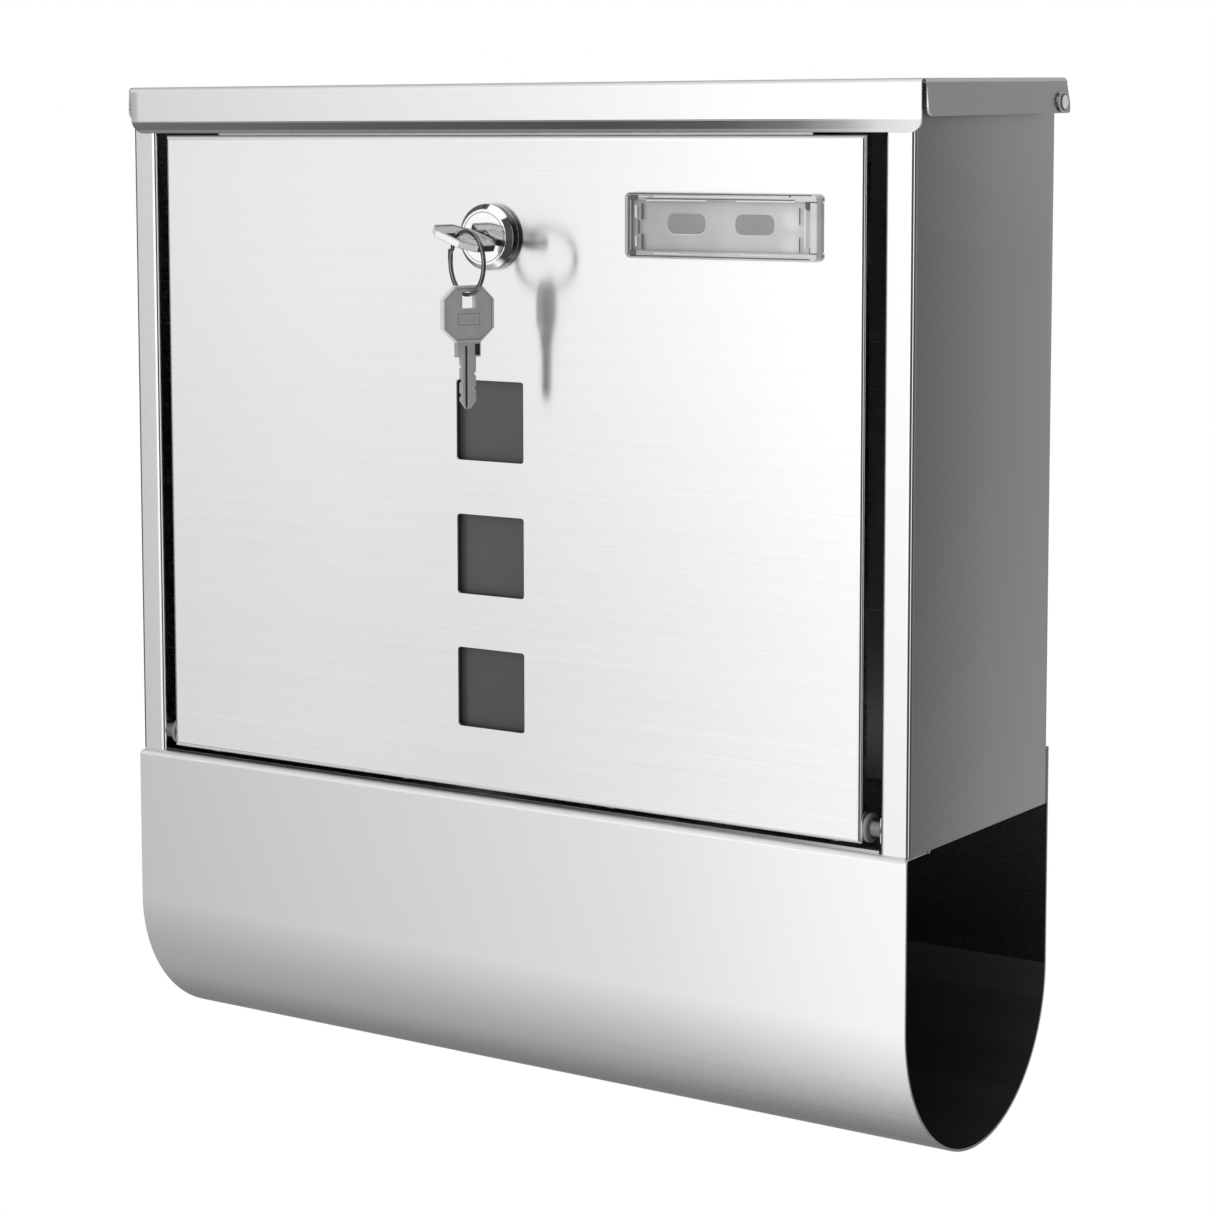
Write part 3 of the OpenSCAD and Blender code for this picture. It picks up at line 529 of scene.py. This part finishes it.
def prism(work, axes, outer, low, high, inner=None):
    """A straight-sided solid on an outline of (across, up), with a hole where inner is given."""
    rings = [
        [[work.verts.new(axes(a, b, level)) for a, b in loop] for level in (low, high)]
        for loop in ([outer, inner] if inner else [outer])
    ]
    count = len(outer)
    for index, (bottom, top) in enumerate(rings):
        for i in range(count):
            j = (i + 1) % count
            side = (bottom[i], bottom[j], top[j], top[i])
            work.faces.new(side if index == 0 else side[::-1])
    if inner:
        for i in range(count):
            j = (i + 1) % count
            work.faces.new((rings[0][1][i], rings[0][1][j], rings[1][1][j], rings[1][1][i]))
            work.faces.new((rings[0][0][j], rings[0][0][i], rings[1][0][i], rings[1][0][j]))
    else:
        work.faces.new(rings[0][1])
        work.faces.new(rings[0][0][::-1])


def built(name, body, materials, width, build):
    """A detail piece: build fills a bmesh, whose edges are then softened; it rides on a body."""
    mesh = bpy.data.meshes.new(name)
    work = bmesh.new()
    build(work)
    bmesh.ops.recalc_face_normals(work, faces=work.faces)
    work.to_mesh(mesh)
    work.free()
    piece = painted(softened(new_object(name, mesh), width), materials)
    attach(piece, body)
    return piece


def round_corners(w, h, r, steps=6):
    """A rectangle's outline with round corners, about its middle."""
    return [
        (
            sx * (w / 2 - r) + r * math.cos(math.radians(turn + 90 * i / steps)),
            sy * (h / 2 - r) + r * math.sin(math.radians(turn + 90 * i / steps)),
        )
        for sx, sy, turn in ((1, 1, 0), (-1, 1, 90), (-1, -1, 180), (1, -1, 270))
        for i in range(steps + 1)
    ]


def faces_sideways(face):
    """The broad sideways faces of a sheet, its small ones, which are plain, or the rest."""
    if abs(face.normal.x) < SIDEWAYS:
        return 0
    return SIDE_SLOT if face.area > SIDE_AREA else PLAIN_SLOT


def dressed(node, name, width, materials, choose=None, segments=2):
    """A CAD node's own shape with soft edges, painted; it stands for the node."""
    piece = softened(merged_copy(node, name), width, segments)
    return finished(painted(piece, materials, choose), node)


def sheet_metal(node, name, materials, choose):
    """A dressed sheet whose narrow faces are plain steel: upright folds, and other edges."""
    piece = dressed(node, name, 0.12 * MM, (*materials, STEEL_FOLD, STEEL_EDGE), choose)
    spots = piece.data.vertices
    painted_with = piece.data.materials
    for face in piece.data.polygons:
        corners = [spots[index].co for index in face.vertices]
        narrow = (0.1 if painted_with[face.material_index] == LID_HEM else 0.45) * MM
        longest = max((a - b).length for a, b in zip(corners, corners[1:] + corners[:1]))
        if face.area < longest * narrow:
            upright = abs(face.normal.z) <= 0.25
            face.material_index = len(materials) + (0 if upright else 1)
    return piece


# ---- Sheet metal ----

roll_low, roll_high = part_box("newspaper_roll")
roll_radius = (roll_high.y - roll_low.y) / 2
roll_centre = Vector((0, (roll_high.y + roll_low.y) / 2, roll_low.z + roll_radius))
body_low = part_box("body_shell")[0]
# How far under the body the roll's top bend ends, and the point that its inner side faces
BEND_DROP, WALL_DROP = 2.2 * MM, 6 * MM
# How far the fold under the lid's lip reaches from the lid's lowest and foremost point
HEM_HEIGHT, HEM_DEPTH = 4.2 * MM, 4 * MM


def faces_into_roll(face):
    """1 for the faces on the inner side of the roll's sheet, 0 for the others."""
    height = face.center.z
    if height > body_low.z - 0.1 * MM or abs(face.normal.x) > 0.5:
        return 0
    level = body_low.z - WALL_DROP if height > body_low.z - BEND_DROP else roll_centre.z
    inward = Vector((0, roll_centre.y, level)) - face.center
    inward.x = 0
    return 1 if inward.dot(face.normal) > 0 else 0


def faces_of_lid(face):
    """The lid's flaps, its hem, or the rest."""
    if abs(face.normal.x) > SIDEWAYS:
        return SIDE_SLOT
    low = CAD_LID[0]
    in_hem = face.center.z < low.z + HEM_HEIGHT and face.center.y < low.y + HEM_DEPTH
    return HEM_SLOT if in_hem else 0


sheet_metal("body_shell", "body_sheet", SLOT_MATERIALS["body_steel"], faces_sideways)
sheet_metal("bottom_panel", "bottom_sheet", (BOTTOM_STEEL, BODY_SIDE), faces_sideways)
sheet_metal("header_rail", "header_sheet", SLOT_MATERIALS["body_steel"], faces_sideways)
sheet_metal("lid", "lid_sheet", (LID_FRONT, LID_SIDE, LID_HEM), faces_of_lid)
sheet_metal("door", "door_sheet", SLOT_MATERIALS["door_steel"], faces_sideways)
sheet_metal("newspaper_roll", "roll_sheet", SLOT_MATERIALS["roll_steel"], faces_into_roll)

# ---- Fasteners, window and lock ----

for cad_node, piece_name, edge in (
    ("lid_hinge_washer", "lid_washer_ring", 0.08 * MM),
    ("door_hinge_washers", "door_washers", 0.12 * MM),
    ("window_gasket", "window_foam", 0.0),
    ("window_pane", "window_strip", 0.2 * MM),
    ("lock_nut", "lock_ring_nut", 0.2 * MM),
    ("lock_plug", "lock_core", 0.1 * MM),
    ("lock_wafers", "lock_wafer_set", 0.0),
    ("lock_cam", "lock_tongue", 0.15 * MM),
    ("cam_washer", "tongue_washer", 0.08 * MM),
    ("cam_screw", "tongue_screw", 0.1 * MM),
):
    dressed(cad_node, piece_name, edge, SLOT_MATERIALS[SLOT_OF[cad_node]])
dressed("lid_hinge_rivets", "lid_rivets", 0.1 * MM, (RIVET_PAINTED_LIGHT,))
dressed("door_hinge_pins", "door_pins", 0.12 * MM, (PIN_STEEL,))
door_front_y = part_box("door")[0].y
# The outer side of the bezel, in front of the door, takes the darker chrome: painted shade.
dressed(
    "lock_body", "lock_bezel", 0.18 * MM, (CHROME, CHROME_SHADE),
    lambda face: 1 if abs(face.normal.y) < 0.3 and face.center.y < door_front_y else 0,
)

# ---- Roll rivets ----

RIVET_HEAD, RIVET_DOME, RIVET_TAIL, RIVET_COUNT = 3.2 * MM, 1.6 * MM, 3.2 * MM, 4


def turned_rivet():
    """One blind rivet on Z: a domed head on z = 0, its shank and its set end."""
    slopes = [math.radians(angle) for angle in range(15, 91, 15)]
    dome = [(RIVET_HEAD * math.sin(a), RIVET_DOME * math.cos(a)) for a in slopes]
    tail = [(1.6, 0), (1.6, -1.6), (2.6, -1.6), (2.7, -2.1), (2.3, -2.9), (1.2, -3.2)]
    profile = dome + [(r * MM, z * MM) for r, z in tail]
    work = bmesh.new()
    sides = 24
    turns = [2 * math.pi * i / sides for i in range(sides)]
    rings = [
        [work.verts.new((r * math.cos(turn), r * math.sin(turn), z)) for turn in turns]
        for r, z in profile
    ]
    for upper, lower in zip(rings, rings[1:]):
        for i in range(sides):
            work.faces.new((upper[i], lower[i], lower[(i + 1) % sides], upper[(i + 1) % sides]))
    work.faces.new(rings[0])
    work.faces.new(rings[-1][::-1])
    mesh = bpy.data.meshes.new("rivet_pattern")
    work.to_mesh(mesh)
    work.free()
    return new_object("rivet_pattern", mesh)


def rivet_tree(pattern, material):
    """Geometry Nodes: the pattern, repeated along a row."""
    tree = bpy.data.node_groups.new("rivet_row", "GeometryNodeTree")
    face = tree.interface
    face.new_socket("Geometry", in_out="OUTPUT", socket_type="NodeSocketGeometry")
    for socket_name, kind in (
        ("Count", "NodeSocketInt"), ("Start", "NodeSocketVector"),
        ("Step", "NodeSocketVector"), ("Turn", "NodeSocketRotation"),
    ):
        face.new_socket(socket_name, in_out="INPUT", socket_type=kind)
    given, line, source, placed, real, coat, out = [
        tree.nodes.new(kind) for kind in (
            "NodeGroupInput", "GeometryNodeMeshLine", "GeometryNodeObjectInfo",
            "GeometryNodeInstanceOnPoints", "GeometryNodeRealizeInstances",
            "GeometryNodeSetMaterial", "NodeGroupOutput",
        )
    ]
    source.inputs["Object"].default_value = pattern
    coat.inputs["Material"].default_value = material
    for start, end in (
        (given.outputs["Count"], line.inputs["Count"]),
        (given.outputs["Start"], line.inputs["Start Location"]),
        (given.outputs["Step"], line.inputs["Offset"]),
        (line.outputs["Mesh"], placed.inputs["Points"]),
        (source.outputs["Geometry"], placed.inputs["Instance"]),
        (given.outputs["Turn"], placed.inputs["Rotation"]),
        (placed.outputs["Instances"], real.inputs["Geometry"]),
        (real.outputs["Geometry"], coat.inputs["Geometry"]),
        (coat.outputs["Geometry"], out.inputs["Geometry"]),
    ):
        tree.links.new(start, end)
    return tree


def rivet_row(name, tree, start, turn):
    """One row of rivets as a plain mesh."""
    span = rivets_high.x - rivets_low.x - 2 * RIVET_HEAD
    row = new_object(name, bpy.data.meshes.new(name))
    nodes = row.modifiers.new("row", "NODES")
    nodes.node_group = tree
    step = (span / (RIVET_COUNT - 1), 0, 0)
    sizes = {"Count": RIVET_COUNT, "Start": start, "Step": step, "Turn": turn}
    for socket in tree.interface.items_tree:
        if socket.name in sizes:
            nodes[socket.identifier] = sizes[socket.name]
    return softened(applied(row, name), 0.0)


rivets_low, rivets_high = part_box("roll_rivets")
rivet_pattern = turned_rivet()
rivet_nodes = rivet_tree(rivet_pattern, ZINC)
first_x = rivets_low.x + RIVET_HEAD
lower_row = rivet_row(
    "rivets_below", rivet_nodes,
    (first_x, rivets_low.y + RIVET_HEAD, rivets_low.z + RIVET_TAIL), (0, 0, 0),
)
rear_row = rivet_row(
    "rivets_behind", rivet_nodes,
    (first_x, rivets_high.y - RIVET_TAIL, rivets_high.z - RIVET_HEAD), (math.pi / 2, 0, 0),
)
finished(lower_row, "roll_rivets")
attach(rear_row, BODY_OF["roll_rivets"])
bpy.data.objects.remove(rivet_pattern)

# ---- Keys and split ring ----

# The sizes of a key, as in the CAD; KEY_TOP is the end of the bow from where the blade starts
KEY_T, KEY_TOP, SHOULDER, BOW_HALF, BOW_CUT, SHOULDER_HALF, BLADE = [
    size * MM for size in (1.8, 22.0, 4.5, 9.1, 4.4, 4.25, 16.0)
]
# How deep a detail is sunk into the face that it lies on
KEY_SINK = 0.1 * MM
key_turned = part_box("key_in_lock")
key_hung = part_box("hanging_key")
keyway = Vector(JOINTS["lock_turn"]["pos_m"])
key_tilt = math.radians(20)
ring_middle = Vector(JOINTS["ring_swing"]["pos_m"])
ring_axis = Vector(JOINTS["ring_swing"]["axis"]).normalized()
KEY_AXES = {
    "key_in_lock": axes_at(
        (keyway.x, key_turned[1].y - BLADE, keyway.z),
        (math.cos(key_tilt), 0, -math.sin(key_tilt)), (0, -1, 0),
    ),
    "hanging_key": axes_at(
        (ring_middle.x, ring_middle.y, key_hung[0].z + BLADE), ring_axis, (0, 0, 1)
    ),
}


def bow_outline(inset):
    """The bow's eight-sided outline, moved in by an inset."""
    half, cut = BOW_HALF - inset, BOW_CUT - inset * 0.4
    low, high = SHOULDER + inset, KEY_TOP - inset
    neck = SHOULDER_HALF - inset * 0.3
    right = [(neck, low), (half, SHOULDER + cut), (half, KEY_TOP - cut), (half - cut, high)]
    return right + [(-a, b) for a, b in reversed(right)]


def panel_outline(inset):
    """The outline of the bare panel in the middle of the bow."""
    w, h = 7.8 * MM - 2 * inset, 3.6 * MM - 2 * inset
    return [(a, b + KEY_TOP - 10.4 * MM) for a, b in round_corners(w, h, 0.3 * MM, 3)]


def framed(outline, *bands):
    """Builds bands on both faces of a key: each from one inset to another, with a height."""

    def build(work, axes):
        for first, last, height in bands:
            for side in (-1, 1):
                face = side * KEY_T / 2
                prism(
                    work, axes, outline(first * MM), face - side * KEY_SINK,
                    face + side * height * MM, outline(last * MM),
                )

    return build


def key_step(work, axes):
    """The step of the shoulder, beside the blade."""
    outline = [(a * MM, b * MM) for a, b in ((2.1, 0.5), (3.9, 0.5), (3.9, 4.0), (2.1, 4.0))]
    for side in (-1, 1):
        prism(work, axes, outline, side * (KEY_T / 2 - KEY_SINK), side * (KEY_T / 2 + 0.03 * MM))


def key_faces(axes, least):
    """Says which faces of a key take painted shade, in the grooves of its blade and on edges of its bow, and which
    edges of its bow take a painted highlight.

    The edges with the painted highlight face the bow's end by more than least.
    """
    origin = axes(0, 0, 0)
    up, out = axes(0, 1, 0) - origin, axes(0, 0, 1) - origin

    def choose(face):
        spot, flat = face.center - origin, abs(face.normal.dot(out))
        if flat > 0.9:
            return 1 if abs(spot.dot(out)) < KEY_T / 2 - 0.2 * MM else 0
        if flat > 0.5 or spot.dot(up) < SHOULDER:
            return 0
        return 2 if face.normal.dot(up) > least else 1

    return choose


for cad_node, piece_name, metal, least in (
    ("key_in_lock", "key_turned_in", NICKEL_SHADED, 0.5), ("hanging_key", "key_spare", NICKEL, -0.9)
):
    key_axes = KEY_AXES[cad_node]
    key_metals = (metal, KEY_SHADE, KEY_HIGHLIGHT)
    dressed(cad_node, piece_name, 0.10 * MM, key_metals, key_faces(key_axes, least))
    # The rims and panel rims are lighter, painted highlight; the thin lines and the step are darker, painted
    # shade.
    for ending, material, width, build in (
        ("_rim", KEY_RIM, 0.06, framed(bow_outline, (0.10, 0.75, 0.24))),
        ("_rim_line", KEY_LINE, 0.0, framed(bow_outline, (0.75, 1.05, 0.02))),
        ("_panel", KEY_LINE, 0.0, framed(panel_outline, (0.0, 0.3, 0.02))),
        ("_panel_rim", KEY_RIM, 0.0, framed(panel_outline, (0.3, 0.6, 0.06))),
        ("_step", KEY_SHADE, 0.04, key_step),
    ):
        built(
            piece_name + ending, BODY_OF[cad_node], (material,), width * MM,
            lambda work: build(work, key_axes),
        )


def split_ring(work):
    """Two flat turns of one wire, which crosses from one to the other; one end stands proud."""
    middle_r, half_w, half_t, aside, flare = [size * MM for size in (9.7, 0.58, 0.27, 0.30, 0.5)]
    section = [
        (-1, -0.6), (-0.7, -1), (0.7, -1), (1, -0.6), (1, 0.6), (0.7, 1), (-0.7, 1), (-1, 0.6)
    ]
    flare_steps = 8
    across = Vector((0, 0, 1))
    side = ring_axis.cross(across)
    steps, first, crossing = 240, math.radians(158), math.radians(14)
    rings = []
    for i in range(steps + 1):
        turn = 4 * math.pi * i / steps
        share = min(1.0, max(0.0, (turn - 2 * math.pi + crossing) / (2 * crossing)))
        level = aside * (2 * share * share * (3 - 2 * share) - 1)
        out = side * math.cos(turn + first) + across * math.sin(turn + first)
        proud = max(0.0, 1 - i / flare_steps)
        place = ring_middle + out * (middle_r + flare * proud) + ring_axis * level
        rings.append([
            work.verts.new(place + out * half_w * a * (1 + 0.5 * proud) + ring_axis * half_t * b)
            for a, b in section
        ])
    sides = len(section)
    for start, end in zip(rings, rings[1:]):
        for i in range(sides):
            j = (i + 1) % sides
            work.faces.new((start[i], start[j], end[j], end[i]))
    work.faces.new(rings[0][::-1])
    work.faces.new(rings[-1])


ring_piece = built("split_ring", BODY_OF["key_ring"], (RING_STEEL,), 0.0, split_ring)
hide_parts("key_ring")

# ---- Name plate ----

plate_low, plate_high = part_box("name_plate_base")
cover_low, cover_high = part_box("name_plate_cover")
plate_middle = (plate_low + plate_high) / 2
# The gap under the cover, and how deep a detail is sunk into the face that it lies on
COVER_GAP, RIB_SINK = 0.15 * MM, 0.05 * MM
plate_axes = {
    level: axes_at((plate_middle.x, y, plate_middle.z), (1, 0, 0), (0, 0, 1))
    for level, y in (
        ("rim", plate_low.y), ("cover", cover_low.y), ("floor", cover_high.y + COVER_GAP)
    )
}


def ribs(level, height, *bars):
    """Chamfered ribs, each from left to right and bottom to top in mm from the plate's middle."""

    def build(work):
        for left, right, bottom, top in bars:
            axes = plate_axes[level]
            outline = [(left, bottom), (right, bottom), (right, top), (left, top)]
            prism(work, axes, [(a * MM, b * MM) for a, b in outline], -RIB_SINK, height * MM)

    return build


dressed("name_plate_base", "plate_holder", 0.2 * MM, (PLATE_FRAME,), segments=3)
dressed("name_plate_cover", "plate_cover", 0.1 * MM, (COVER_CLEAR,))
# Thin ribs on the plate's rims and cover: the light ones are painted highlights, the dark ones painted shade.
PLATE_RIBS = (
    ("plate_shine_rim", "name_plate_base", "rim", 0.10, PLATE_HIGHLIGHT, (
        (-23.0, 22.0, 8.45, 8.95), (-28.5, -25.0, 8.5, 8.85), (23.6, 25.2, 8.45, 8.8),
        (30.2, 31.6, 8.3, 8.8), (-25.8, -4.3, 7.35, 7.75), (6.1, 26.0, 7.35, 7.75),
        (-23.0, -14.0, -8.65, -8.2), (-14.0, 3.0, -8.6, -8.35), (8.0, 25.5, -8.45, -8.15),
        (-32.95, -32.7, -8.6, 8.6),
    )),
    ("plate_shade_rim", "name_plate_base", "rim", 0.06, PLATE_SHADE, (
        (-31.8, 31.8, 9.35, 9.7), (-32.3, -31.7, -8.9, 9.0), (-31.6, 31.2, -9.35, -9.0),
        (24.2, 24.7, 8.5, 9.4), (-25.8, 26.0, 7.9, 8.2), (-31.6, -29.4, -9.3, -7.6),
        (-31.6, -28.6, 7.6, 9.1),
    )),
    ("plate_shine_cover", "name_plate_cover", "cover", 0.12, PLATE_HIGHLIGHT, (
        (-30.3, -29.5, 2.2, 6.1), (-30.2, -29.6, -6.4, -3.2), (29.0, 29.5, -6.0, 5.6),
    )),
    ("plate_shade_cover", "name_plate_cover", "cover", 0.10, PLATE_SHADE, (
        (-29.2, -28.6, -2.6, 1.6), (-28.0, -27.2, 1.8, 6.6), (-28.0, -27.2, -7.3, -2.6),
        (27.2, 27.6, 0.8, 5.8), (27.2, 27.6, -7.2, -2.9), (31.0, 32.1, -7.4, 7.4),
        (29.3, 32.2, 5.2, 7.5), (30.6, 32.2, -7.5, -5.8),
    )),
)
for rib_name, carrier, level, height, material, bars in PLATE_RIBS:
    built(
        rib_name, BODY_OF[carrier], (material,), 0.05 * MM,
        ribs(level, height, *bars),
    )
# The plate's right end, with a thin strip of painted highlight on it.
end_axes = axes_at((plate_high.x, plate_low.y, plate_middle.z), (0, 1, 0), (0, 0, 1))
for end_name, material, width, bounds in (
    ("plate_end", PLATE_FRAME, 0.25, (0.15, 1.3, 7.4, -2.3, -0.05)),
    ("plate_end_shine", PLATE_HIGHLIGHT, 0.05, (0.45, 0.95, 7.2, -0.2, 0.03)),
):
    near, far, half, inward, outward = [size * MM for size in bounds]
    end_outline = [(near, -half), (far, -half), (far, half), (near, half)]
    built(
        end_name, BODY_OF["name_plate_cover"], (material,), width * MM,
        lambda work: prism(work, end_axes, end_outline, inward, outward),
    )
SLOT_W, SLOT_H, SLOT_R = 13.4 * MM, 6.1 * MM, 2.4 * MM
# Each slot is a dark patch of painted shade over a light one set a little lower, whose edge shows as a painted
# highlight along the bottom.
for slot_index, slot_place in enumerate((-12.3, 11.6)):
    for slot_name, material, rise, height in (
        ("plate_slot_rim", PLATE_HIGHLIGHT, 0.28, 0.02), ("plate_slot", PLATE_SLOT, 0.6, 0.05)
    ):
        slot_outline = [
            (a + slot_place * MM, b + rise * MM) for a, b in round_corners(SLOT_W, SLOT_H, SLOT_R)
        ]
        built(
            slot_name + str(slot_index), "door", (material,), 0.0,
            lambda work: prism(
                work, plate_axes["floor"], slot_outline, -RIB_SINK, height * MM
            ),
        )

# ---- Studio ----

STUDIO = Vector((0, -0.05, 0.0))
FLOOR_DROP = 0.6
# How bright the studio is in each direction: (degrees to the right of the front, brightness)
ROUND_LEVEL = (
    (-180, 0.34), (-150, 0.24), (-110, 0.10), (-62, 0.12), (-53, 0.50), (-47, 0.84), (-42, 0.96),
    (-38, 1.04), (-34, 1.12), (-30, 1.24), (-24, 1.45), (8, 1.45), (14, 0.50), (20, 0.08),
    (56, 0.08), (59, 1.40), (65, 1.40), (69, 0.06), (98, 0.08), (116, 0.20), (146, 0.26),
    (156, 0.36), (180, 0.36),
)
# The same for what lies well below, and well above, the level of the object
BELOW = (
    (-180, 0.25), (-145, 0.14), (-134, 0.17), (-103, 0.28), (-90, 0.42), (-61, 0.46), (-44, 0.62),
    (-34, 0.77), (-24, 0.96), (0, 1.10), (24, 0.70), (34, 0.06), (110, 0.06), (128, 0.22),
    (180, 0.25),
)
ABOVE = (
    (-180, 0.25), (-150, 0.10), (-85, 0.06), (-62, 0.20), (-50, 0.90), (20, 1.00), (32, 0.08),
    (110, 0.05), (130, 0.25), (180, 0.25),
)
# A round soft light overhead: its direction and brightness
OVERHEAD, OVERHEAD_LEVEL = Vector((0, -0.343, 0.94)), 1.2


def all_round(paint, turn, levels):
    """The brightness for a direction, from a list of turns and levels; a ramp holds half of it."""
    return paint.ramp(turn, *[(0.5 + angle / 360, level / 2) for angle, level in levels]) * 2.0


def dome_material():
    """The studio as reflections see it: its brightness in each direction from the object."""
    paint = Paint("studio_dome")
    where = paint.node("ShaderNodeTexCoord", output="Object")
    unit = paint.vector_maths("NORMALIZE", where, output="Vector")
    axes = [paint.node("ShaderNodeSeparateXYZ", inputs={0: unit}, output=i) for i in range(3)]
    angle = paint.node("ShaderNodeMath", {"operation": "ARCTAN2"}, {0: axes[0], 1: 0 - axes[1]})
    turn = angle * (0.5 / math.pi) + 0.5
    height = axes[2] * 0.5 + 0.5
    low = paint.ramp(height, (0.0, 1.0), (0.19, 1.0), (0.35, 0.0))
    high = paint.ramp(height, (0.71, 0.0), (0.80, 1.0))
    facing = paint.vector_maths("DOT_PRODUCT", unit, OVERHEAD)
    in_soft_light = paint.ramp(facing, (0.885, 0.0), (0.90, 1.0))
    dim = paint.ramp(height, (0.0, 0.76), (0.35, 0.76), (0.405, 0.82), (0.50, 1.0))
    level = all_round(paint, turn, ROUND_LEVEL) * dim
    level = level + (all_round(paint, turn, BELOW) - level) * low
    level = level + (all_round(paint, turn, ABOVE) - level) * high
    level = level + (OVERHEAD_LEVEL - level) * in_soft_light
    shader = paint.node("ShaderNodeEmission", inputs={"Color": grey(1.0), "Strength": level})
    paint.node("ShaderNodeOutputMaterial", inputs={"Surface": shader})
    return paint.material


def floor_material():
    """Plain and pale under the object, and white where it meets the background."""
    paint = Paint("floor_pale")
    where = paint.node("ShaderNodeTexCoord", output="Object")
    reach = paint.vector_maths("LENGTH", where)
    far = paint.ramp(reach, (0.0, 0.0), (1.0, 1.0))
    pale = paint.node("ShaderNodeBsdfDiffuse", inputs={"Color": grey(0.8)})
    white = paint.node("ShaderNodeEmission", inputs={"Color": grey(1.0), "Strength": 1.0})
    mixed = paint.node("ShaderNodeMixShader", inputs={0: far, 1: pale, 2: white})
    paint.node("ShaderNodeOutputMaterial", inputs={"Surface": mixed})
    return paint.material


def studio_piece(name, material, place, build):
    """A part of the studio: its mesh comes from one bmesh call."""
    mesh = bpy.data.meshes.new(name)
    work = bmesh.new()
    build(work)
    work.to_mesh(mesh)
    work.free()
    mesh.materials.append(material)
    made = new_object(name, mesh)
    made.location = place
    return made


floor = studio_piece(
    "studio_floor", floor_material(), (0, 0, CAD_BOX[0].z - FLOOR_DROP),
    lambda work: bmesh.ops.create_circle(work, cap_ends=True, radius=14.0, segments=64),
)
floor.visible_glossy = False
dome = studio_piece(
    "studio_dome", dome_material(), STUDIO,
    lambda work: bmesh.ops.create_icosphere(work, subdivisions=5, radius=1.6),
)
dome.visible_camera = False
dome.visible_diffuse = False
dome.visible_shadow = False
dome.visible_transmission = False


def soft_lamp(name, place, power, size):
    """A wide lamp that points at the object and isn't mirrored in it."""
    lamp = bpy.data.lights.new(name, "AREA")
    lamp.shape = "RECTANGLE"
    lamp.size, lamp.size_y = size
    lamp.energy = power
    made = bpy.data.objects.new(name, lamp)
    SCENE.collection.objects.link(made)
    made.location = place
    made.rotation_euler = (STUDIO - Vector(place)).to_track_quat("-Z", "Y").to_euler()
    made.visible_glossy = False


soft_lamp("fill_lamp", (-0.7, -1.2, 0.7), 5.0, (0.9, 0.9))
soft_lamp("top_lamp", (0.1, -0.3, 1.2), 4.0, (0.8, 0.8))

# The world is white where it is seen, and dimmer as a light
world = bpy.data.worlds.new("studio_world")
SCENE.world = world
sky = Paint("studio_world", world)
seen = sky.node("ShaderNodeLightPath", output="Is Camera Ray")
for ray in ("Is Glossy Ray", "Is Transmission Ray"):
    mirrored = sky.node("ShaderNodeLightPath", output=ray)
    seen = sky.node("ShaderNodeMath", {"operation": "MAXIMUM"}, {0: seen, 1: mirrored})
dimmer, white = [
    sky.node("ShaderNodeBackground", inputs={"Color": grey(1.0), "Strength": strength})
    for strength in (0.45, 1.0)
]
either = sky.node("ShaderNodeMixShader", inputs={0: seen, 1: dimmer, 2: white})
sky.node("ShaderNodeOutputWorld", inputs={"Surface": either})

SCENE.view_settings.view_transform = "Standard"

# ---- Camera ----

CAMERA_TURN, CAMERA_TILT, CAMERA_ROLL = 33.855, 5.860, -0.074
CAMERA_PLACE = Vector((0.5700, -0.8805, 0.0984))
CAMERA_LENS, CAMERA_SENSOR, CAMERA_SHIFT = 91.39, 36, -0.1293
camera_data = bpy.data.cameras.new("camera")
camera_data.lens = CAMERA_LENS
camera_data.sensor_width = CAMERA_SENSOR
camera_data.shift_y = CAMERA_SHIFT
camera = bpy.data.objects.new("camera", camera_data)
SCENE.collection.objects.link(camera)
camera.matrix_world = (
    Matrix.Translation(CAMERA_PLACE)
    @ Matrix.Rotation(math.radians(CAMERA_TURN), 4, "Z")
    @ Matrix.Rotation(math.radians(90 - CAMERA_TILT), 4, "X")
    @ Matrix.Rotation(math.radians(CAMERA_ROLL), 4, "Z")
)
SCENE.camera = camera
